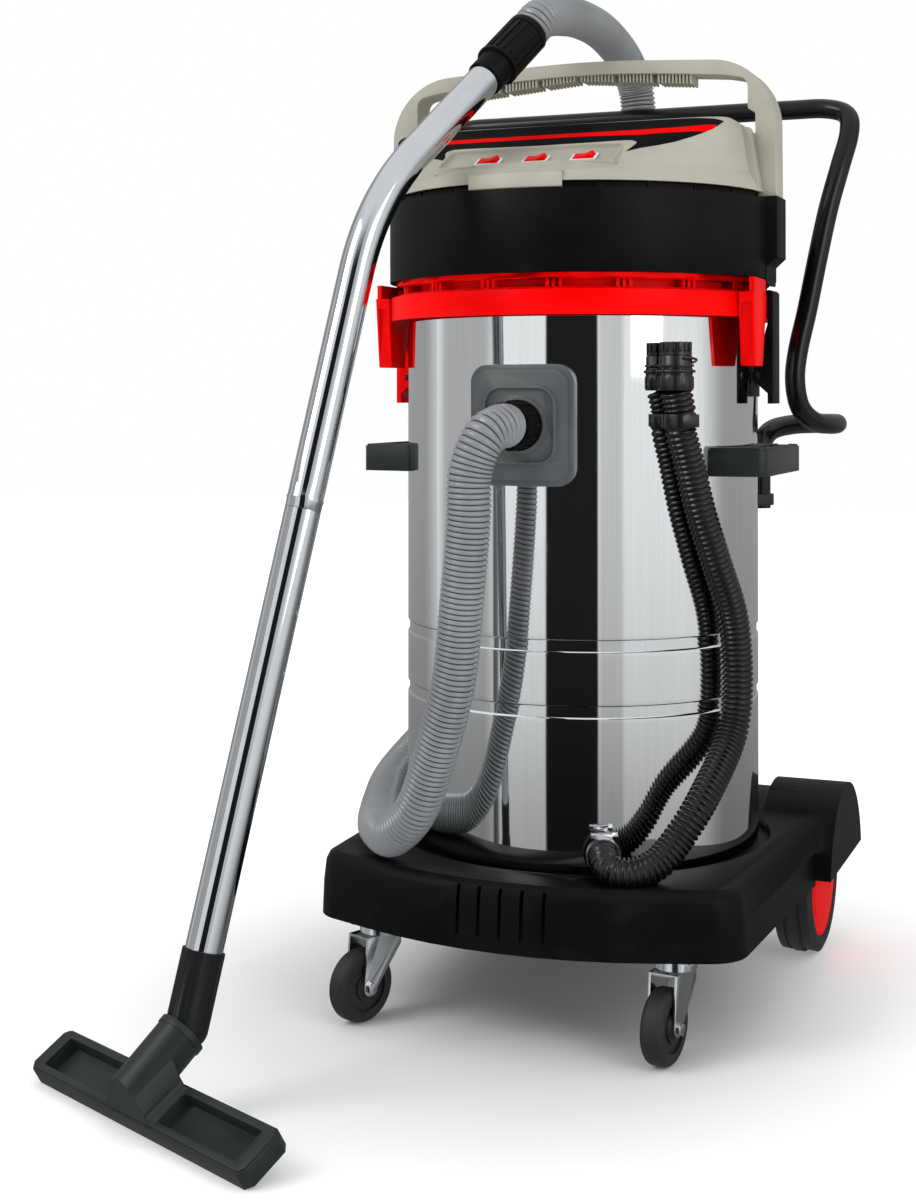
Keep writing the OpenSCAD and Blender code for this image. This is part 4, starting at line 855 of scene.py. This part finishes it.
def top_cover():
    """Shell with its switch recess, the notch for each end of the carry bow, gussets and front tab."""
    wall = 3.0
    cover = piece("head_cover", cover_skin(0.0), "beige_plastic")
    rows = cover_rows()
    drops = [wall + 2] + [wall] * (len(rows) - 1)
    cut(cover, skin([cover_ring(row[0] - drop, *row[1:], wall) for row, drop in zip(rows, drops)]))
    cut(cover, block(PANEL @ shift(-7, 0, -6.5), (211, 53, 9)), "UNION")
    cut(cover, block(PANEL @ shift(-7, 0, 12), (205, 47, 40), 5.0, 4))
    for switch in (-1, 0, 1):
        cut(cover, block(PANEL @ shift(switch * 57, 0, -8), (27.2, 17.2, 20), 1.0, 2))
    for sign in (-1, 1):
        cut(cover, block(WORLD @ shift(sign * 246.5, 0, COVER_FOOT + 50), (60, 40.6, 144)))
    mesh = bmesh.new()
    mesh.from_mesh(cover.data)
    bmesh.ops.remove_doubles(mesh, verts=mesh.verts, dist=2e-6)
    round_edges(mesh, sharp_edges(mesh, 38), 0.0009, 2, clamp=False)
    cover_fins(mesh)
    front_tab(mesh)
    bmesh.ops.recalc_face_normals(mesh, faces=mesh.faces)
    mesh.to_mesh(cover.data)
    mesh.free()
    shade(cover, 38)
    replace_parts(cover, "top_cover")


top_cover()

# ---- Label on the switch panel ----


def foil(name, outline, look, proud):
    """A thin foil on the cover's skin, inside an outline given on the panel."""
    made = piece(name, cover_skin(proud), look, smooth=30)
    cut(made, prism(outline, -80.0, 60.0, PANEL), "INTERSECT")
    cut(made, cover_skin(0.0))
    shade(made, 30)


def label():
    """Plain black foil with a red stripe; it carries no lettering."""
    middle = -3
    half = [(0, 26), (60, 28), (100, 31), (108, 31), (114, 27.5), (115, 22.5), (108, 4.2), (122, 14.6),
            (140, 24.5), (155, 34), (172, 48), (183, 58.5), (192, 68.7), (197, 76), (200.5, 85)]
    outline = mirrored(half[1:]) + half + [(167, 89.5), (0, 91), (-167, 89.5)]
    stripe = [(-187, 59), (-150, 47.5), (-60, 46.5), (30, 48.2), (113, 44.4), (156, 51), (183, 59),
              (192, 68), (195, 73.5), (170, 66), (150, 62.2), (110, 59.5), (0, 59.5), (-120, 58.5)]
    foil("label_foil", [(middle + x, y) for x, y in outline], "label_black", 0.3)
    foil("label_stripe", [(middle + x, y) for x, y in stripe], "label_red", 0.5)


label()

# ---- Small fittings ----


def clamp_screw(name, place, r=3.6):
    """Pan head with a raised cross; Z of place points out of it."""
    mesh = lathe([(0, 0), (r, 0), (r, 0.7), (r * 0.86, 1.5), (r * 0.5, 2.0), (0, 2.15)], 32, place)
    for angle in (20, 110):
        block(place @ shift(0, 0, 2.0) @ turn("Z", angle), (r * 1.2, r * 0.24, 0.6), mesh=mesh)
    piece(name, mesh, "zinc", smooth=35)


def clamp_screws():
    """Four screws in each saddle of the push handle, pointing away from the tank's axis."""
    leg = math.degrees(math.atan2(150, 185))
    for side_name, bearing in (("left", 180 - leg), ("right", leg)):
        for k, z in enumerate((571, 607)):
            for letter, off in (("a", -19), ("b", 19)):
                out = turn("Z", bearing + math.degrees(off / 216)) @ shift(215.6, 0, z) @ turn("Y", 90)
                clamp_screw(f"clamp_screw_{side_name}_{k}_{letter}", WORLD @ out)


clamp_screws()


def exhaust_liner():
    """Wall behind the exhaust windows, part of the red moulding."""
    section = [(202.5, 817.0), (205.6, 817.0), (205.6, 834.9), (202.5, 834.9)]
    piece("exhaust_liner", lathe(section, 128, WORLD), "red_plastic", smooth=30)


def vent_liner():
    """Wall behind the slots in the base's front."""
    liner = block(WORLD @ shift(0, -254, 146), (128, 2.4, 66), 0.6, 2)
    piece("vent_liner", liner, "black_plastic", smooth=30)


CUFF = WORLD @ turn("Z", 44.2) @ shift(0, -231, 706)
CUFF_AXIS = (161.04, -165.6)
STRAP_Z = 729
LUGS, GRIPS = 14, 12


def drain_cap():
    """Screw cap with deep grip lugs and a dished top."""
    place = CUFF @ shift(0, 0, 38.3)
    section = [(0, 12.2), (11.5, 12.2), (12.6, 13.0), (12.6, 14.6), (15.4, 14.6), (16.2, 13.8),
               (16.2, 4.6), (17.6, 4.0), (17.6, 0.6), (17.0, 0.0), (13.2, 0.0), (13.2, 11.0), (0, 11.0)]
    mesh = lathe(section, 96, place)
    for i in range(LUGS):
        lug = place @ turn("Z", i * 360 / LUGS) @ shift(16.3, 0, 9.6)
        block(lug, (2.6, 4.4, 10.4), 0.9, 3, mesh)
    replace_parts(piece("knurled_cap", mesh, "fitting_black", "drain_cap", smooth=35), "drain_cap")


def cuff_grips():
    """Raised flats round the lower part of the drain hose's cuff."""
    mesh = bmesh.new()
    for i in range(GRIPS):
        angle = i * 360 / GRIPS
        block(CUFF @ turn("Z", angle) @ shift(18.9, 0, 8.5), (1.8, 6.2, 13.0), 0.6, 2, mesh)
        block(CUFF @ turn("Z", angle + 15) @ shift(18.3, 0, 20.5), (1.2, 3.0, 7.0), 0.5, 2, mesh)
    piece("cuff_grips", mesh, "fitting_black", smooth=35)


def cap_strap():
    """Tether: a ring round the cuff and a loop up to the cap."""
    x, y = CUFF_AXIS
    line = []
    for i in range(25):
        t = math.radians(200 - 250 * i / 24)
        radius = 20.0 + 3.5 * math.sin(math.pi * i / 24)
        rise = 12.5 * (0.5 - 0.5 * math.cos(math.pi * i / 24))
        line.append(at(x + radius * math.cos(t), y + radius * math.sin(t), STRAP_Z + rise))
    mesh = tube(line, [0.0014] * len(line), 10)
    section = [(20.3 + 1.5 * c, 1.6 * s - 2.0) for c, s in arc(0, 0, 1, 0, 330, 11)]
    lathe(section, 64, WORLD @ shift(x, y, STRAP_Z), mesh)
    piece("cap_strap", mesh, "fitting_black", smooth=180)


def neck_saddle():
    """Pedestal that carries the neck on the floor tool and flares into its top."""
    on_tool = WAND_PLANE @ shift(-23.3, 0, 0.2) @ turn("Y", -30.4)
    neck_r, foot_y, foot_z, flare_y, flare_z = 24.1, 31.0, 30.5, 8.5, 9.4
    flare = [(foot_y + flare_y * (1 - c), foot_z - flare_z * s) for c, s in arc(0, 0, 1, 0, 90, 8)]
    rings = []
    for t in (i / 12 for i in range(13)):
        neck_z = 32.7 + 0.119 * (3 + 48 * t)
        drop = foot_z - neck_z
        leave = math.atan2(drop, foot_y) + math.acos(neck_r / math.hypot(foot_y, drop))
        side = arc(0, neck_z, neck_r, 90, math.degrees(leave), 14)[1:] + flare + [(39.5, 16.0)]
        ring = []
        for y, z in [(0.0, neck_z + neck_r)] + side + mirrored(side):
            lean = max(0, z - 21)
            x = (1.5 + lean * 0.227) * (1 - t) + (50 + lean * 0.3) * t
            ring.append(on_tool @ Vector((x, y, z)))
        rings.append(ring)
    mesh = skin(rings)
    round_edges(mesh, [e for f in mesh.faces if len(f.verts) > 4 for e in f.edges], 0.001, 3)
    bmesh.ops.recalc_face_normals(mesh, faces=mesh.faces)
    piece("neck_saddle", mesh, "grey_plastic", "floor_tool", smooth=35)


exhaust_liner()
drain_cap()
cuff_grips()
neck_saddle()
vent_liner()
cap_strap()

# ---- Stage ----


def light_path(tree, ray):
    return Field(tree, tree.nodes.new("ShaderNodeLightPath").outputs[ray])


def make_floor():
    """Pale paper with painted light: an emission that rises away from the machine whitens the floor and
    fades the shadow there; gloss looks through it.
    """
    half = 9

    def paper(p):
        x, y = p.axis(0), p.axis(1)
        away = p.math("SQRT", x * x + y * y)
        # Painted light: emission grows with distance from the machine, lightening the outer part of the
        # shadow
        painted_glow = away.step(0.22, 0.55) * 0.26 + away.step(0.45, 1.15) * 0.3 + 0.03
        return {
            "Base_Color": p.noise(1.5, 3.0).blend((0.84, 0.84, 0.84), (0.87, 0.87, 0.87)),
            "Roughness": p.noise(4.0, 2.0) * 0.1 + 0.75,
            "Emission_Color": painted_glow.blend((0.0, 0.0, 0.0), (1.0, 1.0, 1.0)),
            "Alpha": 1 - light_path(p.tree, "Is Glossy Ray"),
        }

    mesh = bmesh.new()
    bmesh.ops.create_grid(mesh, x_segments=1, y_segments=1, size=half)
    floor = as_object("studio_floor", mesh)
    floor.data.materials.append(material("studio_paper_painted_light", paper, Emission_Strength=1.0))


def make_world():
    """White to the camera; to everything else a soft studio with darker walls at both sides."""
    world = bpy.data.worlds.new("studio")
    bpy.context.scene.world = world
    world.use_nodes = True
    tree = world.node_tree
    tree.nodes.clear()
    where = Field(tree, tree.nodes.new("ShaderNodeTexCoord").outputs["Generated"])
    bearing = where.math("ARCTAN2", where.axis(1), where.axis(0)) * (180 / math.pi)
    level = 1 - where.axis(2).size().step(0.45, 0.8)

    def wall(low, high, soft):
        """1 between two bearings in degrees, with soft edges."""
        return bearing.step(low - soft, low + soft) * (1 - bearing.step(high - soft, high + soft))

    walls = (wall(-95, -62, 0.8) * 0.985 + wall(-61, -46, 2.0) * 0.3 + wall(-176, -132, 7.0) * 0.5
             + wall(-131, -127, 1.0) * 0.75 + wall(18, 178, 16.0) * 0.62)
    below = (1 - where.axis(2).step(-0.35, 0.0)) * 0.6
    studio = ((1 - walls * level) * (1 - below)).blend((0.0, 0.0, 0.0), (0.95, 0.96, 0.97))
    back = light_path(tree, "Is Camera Ray").blend(studio, (1.0, 1.0, 1.0))
    light = where.node("ShaderNodeBackground", {"Color": back, "Strength": 1.0})
    out = tree.nodes.new("ShaderNodeOutputWorld")
    tree.links.new(light.socket, out.inputs["Surface"])


make_floor()
make_world()
area_lamp("key", (-1.9, -2.2, 2.6), (0, 0, 0.6), (1.6, 1.6), 42)
area_lamp("fill", (2.6, -1.4, 1.6), (0, 0, 0.5), (1.2, 1.8), 14)
bpy.context.scene.view_settings.view_transform = "Standard"
